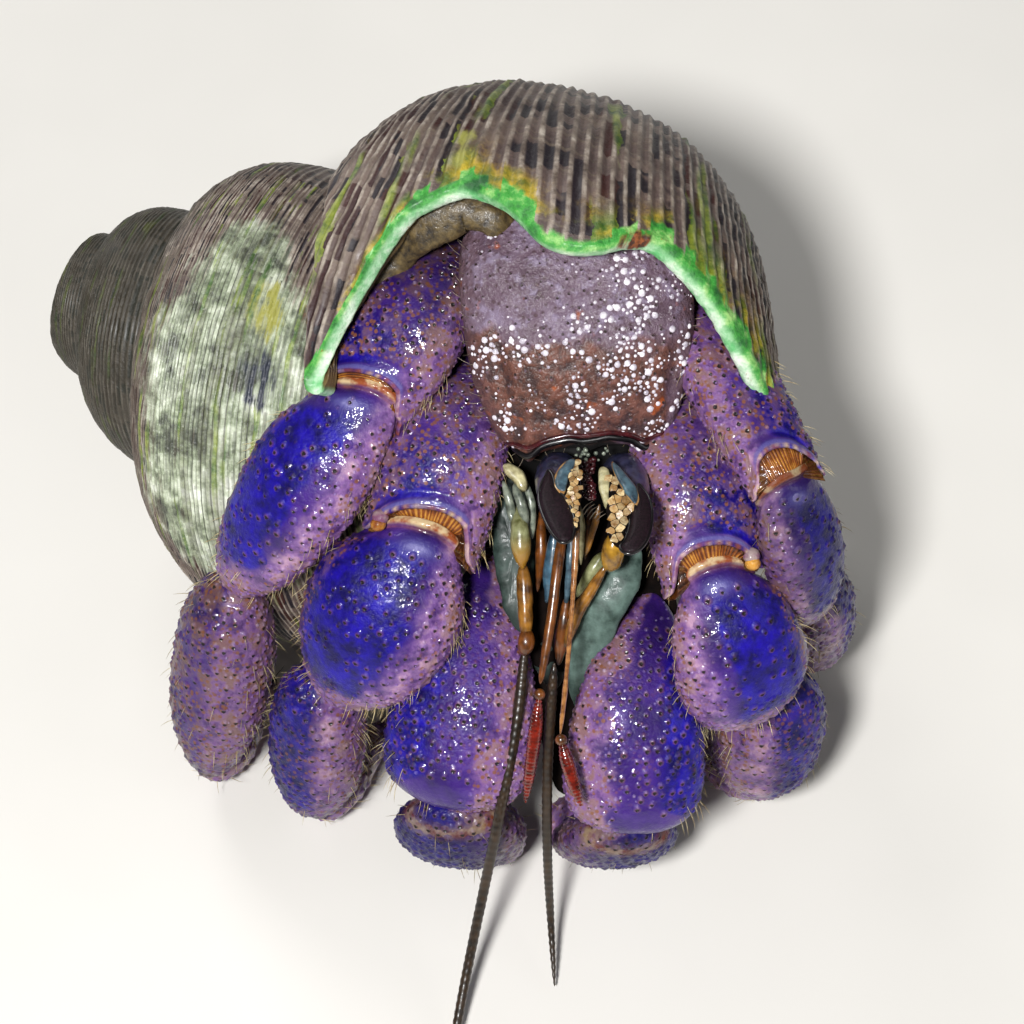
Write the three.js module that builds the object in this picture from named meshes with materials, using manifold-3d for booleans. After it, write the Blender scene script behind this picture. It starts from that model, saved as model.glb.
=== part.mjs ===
// A purple land hermit crab crouched in a turban shell, life size. Millimetres, +Z up.
// The animal faces -Y and its right side is at -X. While it is laid out the floor is Z = 0 and the middle of
// its head is near X = 3.7; the whole group is then moved so that the origin is the middle of its footprint.
import * as THREE from "three";
import Module from "manifold-3d";

const wasm = await Module();
wasm.setup();

// ---- Driving dimensions ----
const GAP = 0.3; // clearance left between neighbouring pieces
const SMALL_EDGE = 0.14; // slivers shorter than this are merged away after cutting

const LIP_HEIGHT = 33.6; // along the coiling axis from the apex to the widest part of the lip
const LIP_RADIUS = 19.8; // from the axis to the widest part of the lip
const SHOULDER_RADIUS = 8.9; // from the axis to where the last whorl's shoulder begins
const SHOULDER_RISE = 12.9; // from the shoulder's start to the widest part, along the axis
const BASE_REACH = 14.9; // from the widest part to the base, along the axis
const SHOULDER_SQUARENESS = 2.3;
const BASE_SQUARENESS = 2.15;
const SUTURE_SHARE = 0.965; // how much of the shoulder shows above the whorl before
const WHORL_RATIO = 1.75; // growth in size over one turn
const SHELL_WALL = 1.0; // thickness at the lip
const PILLAR_RADIUS = 2.2; // of the solid pillar on the axis
const PILLAR_TAPER = 6; // length over which the pillar narrows to nothing
const CAVITY_TURNS = 0.45; // how far the hollow goes back from the opening
const LATE_GROWTH = 0.05; // share of that growth left past the opening's plane
const GROWTH_END = 0.1; // turns that the outline is carried past that plane before the lip is cut
const MOUTH_CLEARANCE = 0.03; // turns beyond that to which the cutters reach
const APEX_DROP = 6.4; // degrees that the apex points below the horizontal
const APEX_BACK = 27.8; // degrees that the apex points back from the animal's right
const AXIS_AT_LIP = new THREE.Vector3(1.9, -2.8, 15.75); // the axis beside the widest part of the lip
const APEX_WEAR = 5.3; // height of the worn-off tip, along the axis
const APEX_DOME = 0.7; // how far the worn tip still stands out of its rim
const LIP_SHOULDER_REACH = 0.085; // turns that the lip runs on near the whorl before
const LIP_SHOULDER_CREST = 0.07; // share of the lip where it runs on furthest
const LIP_SHOULDER_SPAN = 0.08; // share of the lip over which that dies away to each side
const LIP_BASE_PULL = 0.012; // turns that the lip falls back towards the base
const LIP_RIPPLE = 0.011; // depth of the lip's ripple, in turns
const LIP_RIPPLE_CREST = 0.48; // share of the lip where the ripple runs furthest forward
const LIP_RIPPLE_LENGTH = 0.4; // share of the lip from crest to crest
const LIP_RIPPLE_SPAN = 0.3; // share of the lip to each side of its middle over which the ripple dies away

const SKIN_SIDES = 10;
const FEELER_SIDES = 6;

const v = (x, y, z) => new THREE.Vector3(x, y, z);
const FACING_UP_FRONT = v(0, -0.57, 0.82); // the way a crouched limb's outer face looks

// ---- Materials ----
const paint = (name, hex, roughness) =>
  new THREE.MeshStandardMaterial({ name, color: hex, roughness, metalness: 0 });
const SHELL_PAINT = paint("turban_shell", 0x8a8272, 0.55);
const SHIELD_PAINT = paint("shield_cuticle", 0x86707a, 0.5);
const LEG_PAINT = paint("violet_cuticle", 0x5340a8, 0.3);
const SOFT_PAINT = paint("soft_cuticle", 0x7d8c8a, 0.45);
const EYE_PAINT = paint("cornea", 0x2a2026, 0.2);
const FEELER_PAINT = paint("feeler_cuticle", 0x8a4a1c, 0.35);

// ---- Solids ----
function solidFrom(points, triangles) {
  return new wasm.Manifold(
    new wasm.Mesh({
      numProp: 3,
      vertProperties: new Float32Array(points.flatMap((p) => [p.x, p.y, p.z])),
      triVerts: new Uint32Array(triangles),
    }),
  );
}

// Closed skin over a run of equal rings, with a pole point at each end.
function skinRings(rings, firstPole, lastPole) {
  const sides = rings[0].length;
  const points = [...rings.flat(), firstPole, lastPole];
  const first = points.length - 2;
  const last = points.length - 1;
  const triangles = [];
  for (let j = 0; j < sides; j++) {
    const k = (j + 1) % sides;
    triangles.push(first, k, j);
    for (let i = 0; i + 1 < rings.length; i++) {
      const a = i * sides;
      const b = a + sides;
      triangles.push(a + j, a + k, b + k, a + j, b + k, b + j);
    }
    const end = (rings.length - 1) * sides;
    triangles.push(last, end + j, end + k);
  }
  return solidFrom(points, triangles);
}

function middleOf(ring) {
  return ring.reduce((sum, p) => sum.add(p), v(0, 0, 0)).multiplyScalar(1 / ring.length);
}

function largestBody(solid) {
  return solid.decompose().sort((a, b) => b.volume() - a.volume())[0];
}

// Value at t of a smooth line through evenly spaced stations.
function alongStations(stations, t) {
  const place = t * (stations.length - 1);
  const i = Math.min(Math.floor(place), stations.length - 2);
  const f = place - i;
  const at = (k) => stations[Math.min(Math.max(k, 0), stations.length - 1)];
  const [before, from, to, after] = [at(i - 1), at(i), at(i + 1), at(i + 2)];
  const slope = (to - before) * f;
  const bend = (2 * before - 5 * from + 4 * to - after) * f ** 2;
  const twist = (3 * from - before - 3 * to + after) * f ** 3;
  return from + 0.5 * (slope + bend + twist);
}

// A limb segment, feeler or body lump: an oval section carried along a path, with rounded ends.
// width is the half-breadth across the outer face, top and bottom the half-thickness on each side of it.
// A larger number in ends makes that end blunter.
function limb(shape) {
  const { path, width, top, bottom = top } = shape;
  const { face = FACING_UP_FRONT, ends = [4, 4], square = 2, rings = 7, sides = SKIN_SIDES } = shape;
  return (grow = 0) => {
    const stretched = path.map((p) => p.clone());
    const lastIndex = path.length - 1;
    stretched[0].addScaledVector(path[0].clone().sub(path[1]).normalize(), grow);
    const ahead = path[lastIndex].clone().sub(path[lastIndex - 1]).normalize();
    stretched[lastIndex].addScaledVector(ahead, grow);
    const bent = path.length > 2;
    const curve = bent ? new THREE.CatmullRomCurve3(stretched) : new THREE.LineCurve3(...stretched);
    const sections = [];
    for (let i = 1; i < rings; i++) {
      const t = 0.5 - 0.5 * Math.cos((Math.PI * i) / rings);
      const round = Math.sqrt(1 - Math.abs(1 - 2 * t) ** (t < 0.5 ? ends[0] : ends[1]));
      const centre = curve.getPointAt(t);
      const tangent = curve.getTangentAt(t);
      const up = face.clone().addScaledVector(tangent, -face.dot(tangent)).normalize();
      const across = up.clone().cross(tangent);
      const ring = [];
      for (let j = 0; j < sides; j++) {
        const angle = (2 * Math.PI * j) / sides;
        const c = Math.cos(angle);
        const s = Math.sin(angle);
        const breadth = (alongStations(width, t) + grow) * round;
        const depth = (alongStations(s > 0 ? top : bottom, t) + grow) * round;
        ring.push(
          centre
            .clone()
            .addScaledVector(across, breadth * Math.sign(c) * Math.abs(c) ** (2 / square))
            .addScaledVector(up, depth * Math.sign(s) * Math.abs(s) ** (2 / square)),
        );
      }
      sections.push(ring);
    }
    return skinRings(sections, stretched[0], stretched[lastIndex]);
  };
}

// ---- Turban shell ----
// Every whorl is the same outline turned about the axis and scaled by WHORL_RATIO to the power of its turns.
// Turn 0 is the lip, turn -1 the same side one whorl earlier. Heights run along the axis from the apex.
const radians = THREE.MathUtils.degToRad;
const toBase = v(
  Math.cos(radians(APEX_DROP)) * Math.cos(radians(APEX_BACK)),
  -Math.cos(radians(APEX_DROP)) * Math.sin(radians(APEX_BACK)),
  Math.sin(radians(APEX_DROP)),
);
const towardsLip = v(0, 0, 1).addScaledVector(toBase, -toBase.z).normalize();
const growthWay = toBase.clone().cross(towardsLip);
const apex = AXIS_AT_LIP.clone().addScaledVector(toBase, -LIP_HEIGHT);

function shellPoint(turn, height, radius) {
  const angle = 2 * Math.PI * turn;
  return apex
    .clone()
    .addScaledVector(toBase, height)
    .addScaledVector(towardsLip, radius * Math.cos(angle))
    .addScaledVector(growthWay, radius * Math.sin(angle));
}

// Radius of one whorl's outline at a height, both measured at the lip's size.
function whorlRadius(height) {
  if (height < LIP_HEIGHT - SHOULDER_RISE || height > LIP_HEIGHT + BASE_REACH) return 0;
  if (height < LIP_HEIGHT) {
    const share = (LIP_HEIGHT - height) / SHOULDER_RISE;
    const swell = (1 - share ** SHOULDER_SQUARENESS) ** (1 / SHOULDER_SQUARENESS);
    return SHOULDER_RADIUS + (LIP_RADIUS - SHOULDER_RADIUS) * swell;
  }
  const share = (height - LIP_HEIGHT) / BASE_REACH;
  return LIP_RADIUS * (1 - share ** BASE_SQUARENESS) ** (1 / BASE_SQUARENESS);
}

// Size of a whorl compared with the lip: growth all but stops at turn 0.
const sizeAt = (turn) => WHORL_RATIO ** (turn > 0 ? LATE_GROWTH * turn : turn);
const baseHeight = (turn) => sizeAt(turn) * (LIP_HEIGHT + BASE_REACH);
const lastSuture = (turn) => sizeAt(turn) * (LIP_HEIGHT - SHOULDER_RISE * SUTURE_SHARE);

// Outermost of the whorl at this turn and all the ones before it.
const WHORLS = 5;
function spireRadius(turn, height) {
  let radius = 0;
  for (let k = 0; k < WHORLS; k++) {
    const size = sizeAt(turn - k);
    radius = Math.max(radius, size * whorlRadius(height / size));
  }
  return radius;
}

// Where the worn lip stands, in turns from the opening's plane, from shoulder (0) to base (1).
function lipTurn(share) {
  const fromCrest = (share - LIP_SHOULDER_CREST) / LIP_SHOULDER_SPAN;
  const shoulder = LIP_SHOULDER_REACH * Math.exp(-(fromCrest ** 2));
  const ripple = Math.cos((2 * Math.PI * (share - LIP_RIPPLE_CREST)) / LIP_RIPPLE_LENGTH);
  const rippling = Math.exp(-(((share - 0.5) / LIP_RIPPLE_SPAN) ** 2));
  return shoulder + LIP_RIPPLE * ripple * rippling - LIP_BASE_PULL * share ** 2;
}

const TURN_STEPS = 21;
const SPIRE_STEPS = 15; // stations up to the last suture, shared by the first and the last profile
const WHORL_STEPS = 16; // stations from there to the base
function shellOutside(grow) {
  const suture = lastSuture(GROWTH_END);
  const points = [shellPoint(0, APEX_WEAR - APEX_DOME - grow, 0)];
  const index = [];
  for (let i = 0; i <= TURN_STEPS; i++) {
    const turn = GROWTH_END + i / TURN_STEPS - 1;
    const row = [0];
    for (let j = 1; j <= SPIRE_STEPS; j++) {
      if (i === TURN_STEPS) {
        row.push(index[0][j]);
        continue;
      }
      const height = APEX_WEAR + (suture - APEX_WEAR) * ((j - 1) / (SPIRE_STEPS - 1));
      row.push(points.push(shellPoint(turn, height, spireRadius(turn, height) + grow)) - 1);
    }
    const base = baseHeight(turn);
    for (let j = 1; j < WHORL_STEPS; j++) {
      const share = Math.sin((Math.PI / 2) * (j / WHORL_STEPS));
      const height = suture + (base - suture) * share;
      row.push(points.push(shellPoint(turn, height + grow * share, spireRadius(turn, height) + grow)) - 1);
    }
    row.push(points.push(shellPoint(turn, base + grow, 0)) - 1);
    index.push(row);
  }
  const triangles = [];
  for (let i = 0; i < TURN_STEPS; i++) {
    const [now, next] = [index[i], index[i + 1]];
    const last = now.length - 1;
    for (let j = 0; j < last; j++) {
      if (j > 0) triangles.push(now[j], next[j], next[j + 1]);
      triangles.push(now[j], next[j + 1], now[j + 1]);
    }
  }
  // The step between the last profile and the one a whorl earlier, where growth stopped.
  const outer = index[TURN_STEPS].slice(SPIRE_STEPS);
  const axisDown = index
    .slice(1, TURN_STEPS)
    .map((row) => row[row.length - 1])
    .reverse();
  const inner = index[0].slice(SPIRE_STEPS + 1).reverse();
  const rim = [...outer, ...axisDown, ...inner];
  const flat = rim.map((k) => {
    const fromApex = points[k].clone().sub(apex);
    const height = fromApex.dot(toBase);
    return new THREE.Vector2(height, fromApex.addScaledVector(toBase, -height).length());
  });
  for (const [a, b, c] of THREE.ShapeUtils.triangulateShape(flat, []))
    triangles.push(rim[a], rim[b], rim[c]);
  return solidFrom(points, triangles);
}

// Radius of what stands inside the last whorl: the whorl before it, or the pillar on the axis, which
// narrows towards the base.
function insideRadius(turn, height) {
  const narrowing = (baseHeight(0) - 1 - height) / PILLAR_TAPER;
  const pillar = PILLAR_RADIUS * Math.min(1, Math.max(0.02, narrowing));
  return Math.max(pillar, spireRadius(turn - 1, height) + SHELL_WALL * 0.5);
}

// Everything in front of the lip that is not the whorl before. Its stations stand closer at the shoulder.
const MOUTH_STEPS = 4;
const MOUTH_STATIONS = 15;
const WELL_OUTSIDE = 45;
function shellMouth(shrink) {
  const sections = [];
  for (let k = 0; k <= MOUTH_STATIONS; k++) {
    const share = 0.01 + 1.19 * (k / MOUTH_STATIONS) ** 1.3;
    const height = lastSuture(0) + (baseHeight(0) - lastSuture(0)) * share;
    const from = lipTurn(share) + shrink * 0.01;
    const near = [];
    const far = [];
    for (let i = 0; i <= MOUTH_STEPS; i++) {
      const turn = from + ((GROWTH_END + MOUTH_CLEARANCE - from) * i) / MOUTH_STEPS;
      near.push(shellPoint(turn, height, insideRadius(turn, height) + shrink));
      far.push(shellPoint(turn, height, WELL_OUTSIDE));
    }
    sections.push([...far, ...near.reverse()]);
  }
  return skinRings(sections, middleOf(sections[0]), middleOf(sections[MOUTH_STATIONS]));
}

// The hollow behind the opening: inside the last whorl, outside the whorl before it and the pillar.
const CAVITY_STEPS = 11;
const CAVITY_STATIONS = 8;
const CAVITY_END_TAPER = 0.55; // how much narrower the hollow is at its far end
function shellCavity(shrink) {
  const wall = SHELL_WALL + shrink;
  const sections = [];
  for (let i = 0; i <= CAVITY_STEPS; i++) {
    const deep = i / CAVITY_STEPS;
    const start = GROWTH_END + MOUTH_CLEARANCE;
    const turn = start - (CAVITY_TURNS + start) * deep;
    const taper = 1 - CAVITY_END_TAPER * deep ** 4;
    const top = lastSuture(turn) + 1.6 * wall;
    const bottom = baseHeight(turn) - 1.6 * wall;
    const outside = [];
    const inside = [];
    for (let j = 0; j <= CAVITY_STATIONS; j++) {
      const height = top + (bottom - top) * (0.5 - 0.5 * Math.cos((Math.PI * j) / CAVITY_STATIONS));
      const floor = insideRadius(turn, height) + shrink;
      const roof = Math.max(spireRadius(turn, height) - wall, floor + 0.2);
      const middle = (roof + floor) / 2;
      const half = ((roof - floor) / 2) * taper;
      outside.push(shellPoint(turn, height, middle + half));
      if (j > 0 && j < CAVITY_STATIONS) inside.push(shellPoint(turn, height, middle - half));
    }
    sections.push([...outside, ...inside.reverse()]);
  }
  return skinRings(sections, middleOf(sections[0]), middleOf(sections[CAVITY_STEPS]));
}

// ---- Laying out the pieces ----
const animal = new THREE.Group();
const keepOuts = [];

function boxesMeet(a, b) {
  const p = a.boundingBox();
  const q = b.boundingBox();
  return [0, 1, 2].every((k) => p.min[k] < q.max[k] && q.min[k] < p.max[k]);
}

const floorSlab = block(v(-80, -80, -20), v(80, 80, 0));
function block(low, high) {
  const corners = [
    [low.x, low.y],
    [high.x, low.y],
    [high.x, high.y],
    [low.x, high.y],
  ];
  const points = [low.z, high.z].flatMap((z) => corners.map(([x, y]) => v(x, y, z)));
  const triangles = [0, 2, 1, 0, 3, 2, 4, 5, 6, 4, 6, 7];
  for (let i = 0; i < 4; i++) {
    const k = (i + 1) % 4;
    triangles.push(i, k, k + 4, i, k + 4, i + 4);
  }
  return solidFrom(points, triangles);
}

function meshOf(name, solid, material) {
  const { vertProperties, triVerts, numProp } = solid.getMesh();
  const positions = new Float32Array((vertProperties.length / numProp) * 3);
  for (let i = 0; i < positions.length / 3; i++)
    positions.set(vertProperties.subarray(i * numProp, i * numProp + 3), i * 3);
  const geometry = new THREE.BufferGeometry();
  geometry.setAttribute("position", new THREE.BufferAttribute(positions, 3));
  geometry.setIndex(new THREE.BufferAttribute(triVerts, 1));
  geometry.computeVertexNormals();
  const mesh = new THREE.Mesh(geometry, material);
  mesh.name = name;
  return mesh;
}

// Adds a piece, cut clear of every piece placed before it and of the floor.
function place(name, material, make) {
  let solid = make(0);
  for (const other of keepOuts) if (boxesMeet(solid, other)) solid = solid.subtract(other);
  solid = largestBody(solid.subtract(floorSlab)).simplify(SMALL_EDGE);
  animal.add(meshOf(name, solid, material));
  keepOuts.push(make(GAP));
}

// The shell first: everything else keeps clear of its wall.
const shellWith = (grow) => shellOutside(grow).subtract(shellCavity(grow)).subtract(shellMouth(grow));
const shellSolid = largestBody(shellWith(0).subtract(floorSlab)).simplify(SMALL_EDGE);
animal.add(meshOf("shell", shellSolid, SHELL_PAINT));
keepOuts.push(shellWith(GAP));

// ---- Head ----
const SIDES = ["right", "left"];
const eyes = {
  right: { root: v(3.1, -8.2, 23.0), tip: v(2.5, -15.4, 25.9), outside: v(-0.85, 0, -0.1) },
  left: { root: v(4.7, -8.2, 23.0), tip: v(5.5, -15.6, 25.9), outside: v(0.85, 0, -0.1) },
};
for (const side of SIDES) {
  const { root, tip, outside } = eyes[side];
  place(
    `eye_${side}`,
    EYE_PAINT,
    limb({
      path: [root.clone().lerp(tip, 0.3).add(outside), tip.clone().addScaledVector(outside, 0.7)],
      face: v(Math.sign(outside.x) * 0.8, 0, 0.6),
      width: [0.7, 1.0, 0.95],
      top: [0.55, 0.75, 0.7],
      ends: [2.6, 2.6],
      rings: 7,
      sides: 10,
    }),
  );
  place(
    `eyestalk_${side}`,
    SOFT_PAINT,
    limb({
      path: [root, tip.clone().lerp(root, 0.03)],
      face: v(0, 0, 1),
      width: [0.75, 0.85, 0.95, 0.8],
      top: [0.7, 0.85, 0.9, 0.6],
      ends: [4, 3],
      rings: 7,
      sides: 10,
    }),
  );
}

const antennules = {
  right: [
    v(3.0, -9.4, 20.6),
    v(2.4, -12.9, 20.6),
    v(1.6, -18.3, 17.0),
    v(1.1, -20.2, 13.8),
    v(0.8, -21.4, 11.0),
  ],
  left: [
    v(4.2, -9.4, 20.8),
    v(3.3, -14.4, 21.4),
    v(2.7, -21.3, 17.5),
    v(3.1, -22.5, 15.6),
    v(3.5, -23.2, 14.0),
  ],
};
const peduncles = {
  right: [v(-0.3, -7.9, 20.6), v(0.4, -11.0, 19.6), v(0.7, -14.4, 17.6)],
  left: [v(6.0, -10.6, 20.2), v(4.4, -14.2, 19.4), v(2.6, -16.0, 17.8)],
};
const antennae = {
  right: [
    v(0.7, -14.9, 17.1),
    v(0.2, -18.4, 14.2),
    v(-0.7, -21.6, 10.4),
    v(-1.5, -23.4, 6.0),
    v(-2.4, -26.2, 2.2),
    v(-3.2, -30.4, 0.5),
    v(-3.9, -36.0, 0.45),
  ],
  left: [
    v(2.1, -16.4, 17.0),
    v(1.8, -19.2, 12.6),
    v(1.8, -21.4, 7.4),
    v(2.0, -22.9, 2.6),
    v(2.2, -25.6, 0.5),
  ],
};
for (const side of SIDES) {
  const feeler = (path, width) =>
    limb({ path, width, top: width, ends: [8, 4], rings: 12, sides: FEELER_SIDES });
  place(`antennule_${side}`, FEELER_PAINT, feeler(antennules[side], [0.45, 0.38, 0.32, 0.42, 0.32]));
  place(
    `antenna_base_${side}`,
    SOFT_PAINT,
    limb({
      path: peduncles[side],
      width: [0.9, 1.0, 0.7, 0.55],
      top: [0.8, 0.85, 0.65, 0.5],
      sides: 8,
    }),
  );
  place(`antenna_${side}`, FEELER_PAINT, feeler(antennae[side], [0.4, 0.38, 0.36, 0.33, 0.3, 0.28]));
}

place(
  "carapace_shield",
  SHIELD_PAINT,
  limb({
    path: [v(3.7, -8.5, 23.2), v(3.5, -5.8, 26.0), v(3.1, -1.4, 29.8), v(2.9, 3.2, 30.4)],
    face: v(0, -0.7, 0.72),
    width: [5.2, 6.7, 6.8, 5.8],
    top: [1.5, 2.1, 2.2, 1.9],
    bottom: [0.8, 1.5, 1.7, 1.5],
    ends: [13, 6],
    square: 2.3,
    rings: 10,
    sides: 14,
  }),
);

// ---- Walking legs and chelipeds ----
// Each leg bends at the knee (merus to carpus), the wrist (carpus to propodus) and the ankle (propodus to
// dactylus). The dactylus is folded back beneath the animal with its claw on the ground.
// Heights of a claw's and a finger's end before the floor trims it to a small flat.
const CLAW_TIP = -0.05;
const FINGER_TIP = -0.3;
const legs = {
  leg2_right: {
    face: v(-0.15, -0.6, 0.8),
    hip: v(-1.6, -2.4, 23.6),
    thigh: v(-3.1, -7.0, 23.2),
    knee: v(-4.3, -10.7, 20.9),
    shin: v(-6.0, -13.9, 17.4),
    wrist: v(-8.1, -15.6, 12.2),
    heel: v(-9.7, -14.0, 12.8),
    ankle: v(-10.4, -16.4, 2.6),
    tip: v(-6.4, -9.0, CLAW_TIP),
    merus: [2.2, 2.7, 3.2, 3.0],
    carpus: [2.3, 4.2, 4.4, 3.0],
    propodus: [2.6, 2.8, 2.6, 1.8],
  },
  leg2_left: {
    face: v(0.2, -0.6, 0.8),
    hip: v(7.2, -3.4, 23.6),
    thigh: v(9.0, -9.1, 23.2),
    knee: v(9.8, -13.0, 21.0),
    shin: v(11.1, -15.7, 17.8),
    wrist: v(12.1, -16.7, 12.4),
    heel: v(13.1, -14.6, 12.8),
    ankle: v(13.2, -15.4, 3.2),
    tip: v(8.6, -9.0, CLAW_TIP),
    merus: [2.0, 2.6, 3.0, 2.8],
    carpus: [2.2, 3.5, 3.7, 3.0],
    propodus: [2.8, 3.0, 2.8, 1.8],
  },
  leg3_right: {
    face: v(-0.35, -0.5, 0.8),
    hip: v(-2.6, 2.2, 27.6),
    thigh: v(-4.9, -2.6, 27.3),
    knee: v(-7.2, -5.4, 25.0),
    shin: v(-9.9, -8.8, 21.7),
    wrist: v(-13.6, -10.6, 15.0),
    heel: v(-14.1, -9.9, 15.2),
    ankle: v(-16.1, -14.0, 2.5),
    tip: v(-13.0, -6.4, CLAW_TIP),
    merus: [2.4, 2.8, 3.1, 2.7],
    carpus: [2.3, 3.5, 3.6, 2.8],
    propodus: [2.4, 2.7, 2.5, 1.7],
  },
  leg3_left: {
    face: v(0.5, -0.5, 0.7),
    hip: v(8.0, 1.6, 25.4),
    thigh: v(10.5, -5.2, 26.2),
    knee: v(13.1, -10.4, 25.0),
    shin: v(14.4, -11.8, 20.6),
    wrist: v(15.3, -11.7, 14.6),
    heel: v(15.4, -8.8, 13.2),
    ankle: v(16.4, -7.2, 3.4),
    tip: v(12.4, -1.6, CLAW_TIP),
    merus: [2.0, 2.5, 2.6, 2.3],
    carpus: [2.0, 2.6, 2.7, 2.3],
    propodus: [2.0, 2.4, 2.2, 1.6],
  },
};
const claws = {
  cheliped_right: {
    face: v(-0.12, -0.62, 0.78),
    shoulder: v(0.8, -6.4, 14.6),
    elbow: v(-1.0, -11.2, 16.0),
    forearm: v(-2.2, -16.1, 14.0),
    wrist: v(-3.3, -20.4, 9.7),
    tip: v(-1.8, -16.9, FINGER_TIP),
    inward: v(1, 0, 0),
    carpus: [1.2, 2.8, 4.0, 3.9],
    palm: [2.8, 3.6, 2.8, 1.1],
  },
  cheliped_left: {
    face: v(0.12, -0.62, 0.78),
    shoulder: v(4.2, -6.6, 14.8),
    elbow: v(6.8, -13.2, 16.0),
    forearm: v(6.3, -18.1, 14.2),
    wrist: v(6.0, -21.7, 9.6),
    tip: v(4.2, -15.4, FINGER_TIP),
    inward: v(-1, 0, 0),
    carpus: [1.3, 2.9, 3.9, 3.7],
    palm: [2.7, 3.3, 2.8, 1.2],
  },
};
const times = (widths, share) => widths.map((w) => w * share);

for (const [name, { face, knee, shin, wrist, carpus }] of Object.entries(legs))
  place(
    `${name}_carpus`,
    LEG_PAINT,
    limb({
      path: [knee, shin, wrist],
      face,
      width: carpus,
      top: times(carpus, 0.6),
      bottom: times(carpus, 0.55),
      ends: [3, 4],
    }),
  );
for (const [name, { face, heel, ankle, tip, propodus }] of Object.entries(legs)) {
  place(
    `${name}_dactylus`,
    LEG_PAINT,
    limb({
      path: [ankle, ankle.clone().lerp(tip, 0.5).add(v(0, 0, 0.4)), tip],
      face: v(0, 0, 1),
      width: [1.6, 1.5, 0.95, 0.4],
      top: [1.5, 1.4, 0.9, 0.4],
      ends: [4, 8],
    }),
  );
  place(
    `${name}_propodus`,
    LEG_PAINT,
    limb({ path: [heel, ankle], face, width: propodus, top: times(propodus, 0.85), ends: [4, 4] }),
  );
}
for (const [name, { face, wrist, tip, inward, palm }] of Object.entries(claws)) {
  const palmFace = v(face.x, -0.82, 0.1);
  const fingerRoot = wrist.clone().lerp(tip, 0.45).addScaledVector(inward, 1.7);
  const fingerTip = tip.clone().addScaledVector(inward, 0.75);
  place(
    `${name}_finger`,
    LEG_PAINT,
    limb({
      path: [fingerRoot, fingerRoot.clone().lerp(fingerTip, 0.5).addScaledVector(inward, 0.7), fingerTip],
      face: palmFace,
      width: [1.2, 1.4, 1.0, 0.45],
      top: [1.7, 1.7, 1.2, 0.5],
      ends: [4, 8],
    }),
  );
  place(
    `${name}_palm`,
    LEG_PAINT,
    limb({
      path: [wrist, wrist.clone().lerp(tip, 0.45).add(v(0, -0.9, 0)), tip],
      face: palmFace,
      width: palm,
      top: times(palm, 0.7),
      bottom: times(palm, 0.55),
      ends: [4, 7],
      rings: 8,
    }),
  );
}
for (const [name, { face, elbow, forearm, wrist, carpus }] of Object.entries(claws))
  place(
    `${name}_carpus`,
    LEG_PAINT,
    limb({
      path: [elbow, forearm, wrist],
      face,
      width: carpus,
      top: times(carpus, 0.55),
      bottom: times(carpus, 0.6),
      ends: [4, 7],
      rings: 8,
    }),
  );
for (const [name, { face, hip, thigh, knee, merus }] of Object.entries(legs))
  place(
    `${name}_merus`,
    LEG_PAINT,
    limb({
      path: [hip, thigh, knee.clone().lerp(thigh, -0.06)],
      face,
      width: merus,
      top: times(merus, 0.62),
      ends: [4, 8],
    }),
  );
for (const [name, { face, shoulder, elbow }] of Object.entries(claws))
  place(
    `${name}_merus`,
    SOFT_PAINT,
    limb({
      path: [shoulder, elbow.clone().add(v(0, -0.9, -0.3))],
      face,
      width: [2.2, 2.6, 2.2],
      top: [1.9, 2.1, 1.8],
      ends: [4, 5],
    }),
  );

// ---- Mouthparts, thorax and abdomen ----
const maxillipeds = {
  right: [v(1.6, -9.0, 17.4), v(1.0, -12.4, 16.0), v(1.3, -15.2, 12.0)],
  left: [v(6.4, -10.4, 17.8), v(5.2, -14.2, 16.6), v(3.6, -16.8, 13.4)],
};
for (const side of SIDES)
  place(
    `maxilliped_${side}`,
    SOFT_PAINT,
    limb({
      path: maxillipeds[side],
      width: [1.0, 1.25, 1.05, 0.6],
      top: [0.9, 1.0, 0.8, 0.5],
      sides: 8,
    }),
  );
place(
  "thorax",
  SOFT_PAINT,
  limb({
    path: [v(3.7, -9.6, 20.0), v(3.4, -5.4, 21.6), v(2.9, -0.5, 24.0), v(2.6, 4.6, 25.2)],
    face: v(0, -0.4, 0.9),
    width: [3.0, 5.6, 6.2, 5.6],
    top: [2.2, 3.0, 4.4, 4.6],
    bottom: [3.0, 5.4, 7.4, 6.4],
    ends: [4, 4],
  }),
);
const ABDOMEN_START = 0.09; // turns back from the lip
const ABDOMEN_END = 0.4;
const abdomenPath = [0, 0.25, 0.5, 0.75, 1].map((share) => {
  const turn = -ABDOMEN_START - (ABDOMEN_END - ABDOMEN_START) * share;
  return shellPoint(turn, sizeAt(turn) * (LIP_HEIGHT + 1), sizeAt(turn) * (SHOULDER_RADIUS + 1.8));
});
place(
  "abdomen",
  SOFT_PAINT,
  limb({
    path: abdomenPath,
    face: towardsLip,
    width: [5.2, 6.0, 5.6, 4.6, 3.2],
    top: [4.6, 5.4, 5.0, 4.2, 3.0],
    rings: 8,
  }),
);

// ---- Origin: middle of the footprint, on the floor ----
animal.updateMatrixWorld(true);
const box = new THREE.Box3().setFromObject(animal, true);
animal.position.set(-(box.min.x + box.max.x) / 2, -(box.min.y + box.max.y) / 2, -box.min.z);

export default animal;
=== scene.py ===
"""The looks of a purple land hermit crab crouched in a turban shell, life size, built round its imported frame.

Lengths in the tables below are millimetres in the CAD's own layout, where the floor is Z = 0. LAYOUT moves
them into the frame."""

import itertools
import math

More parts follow.
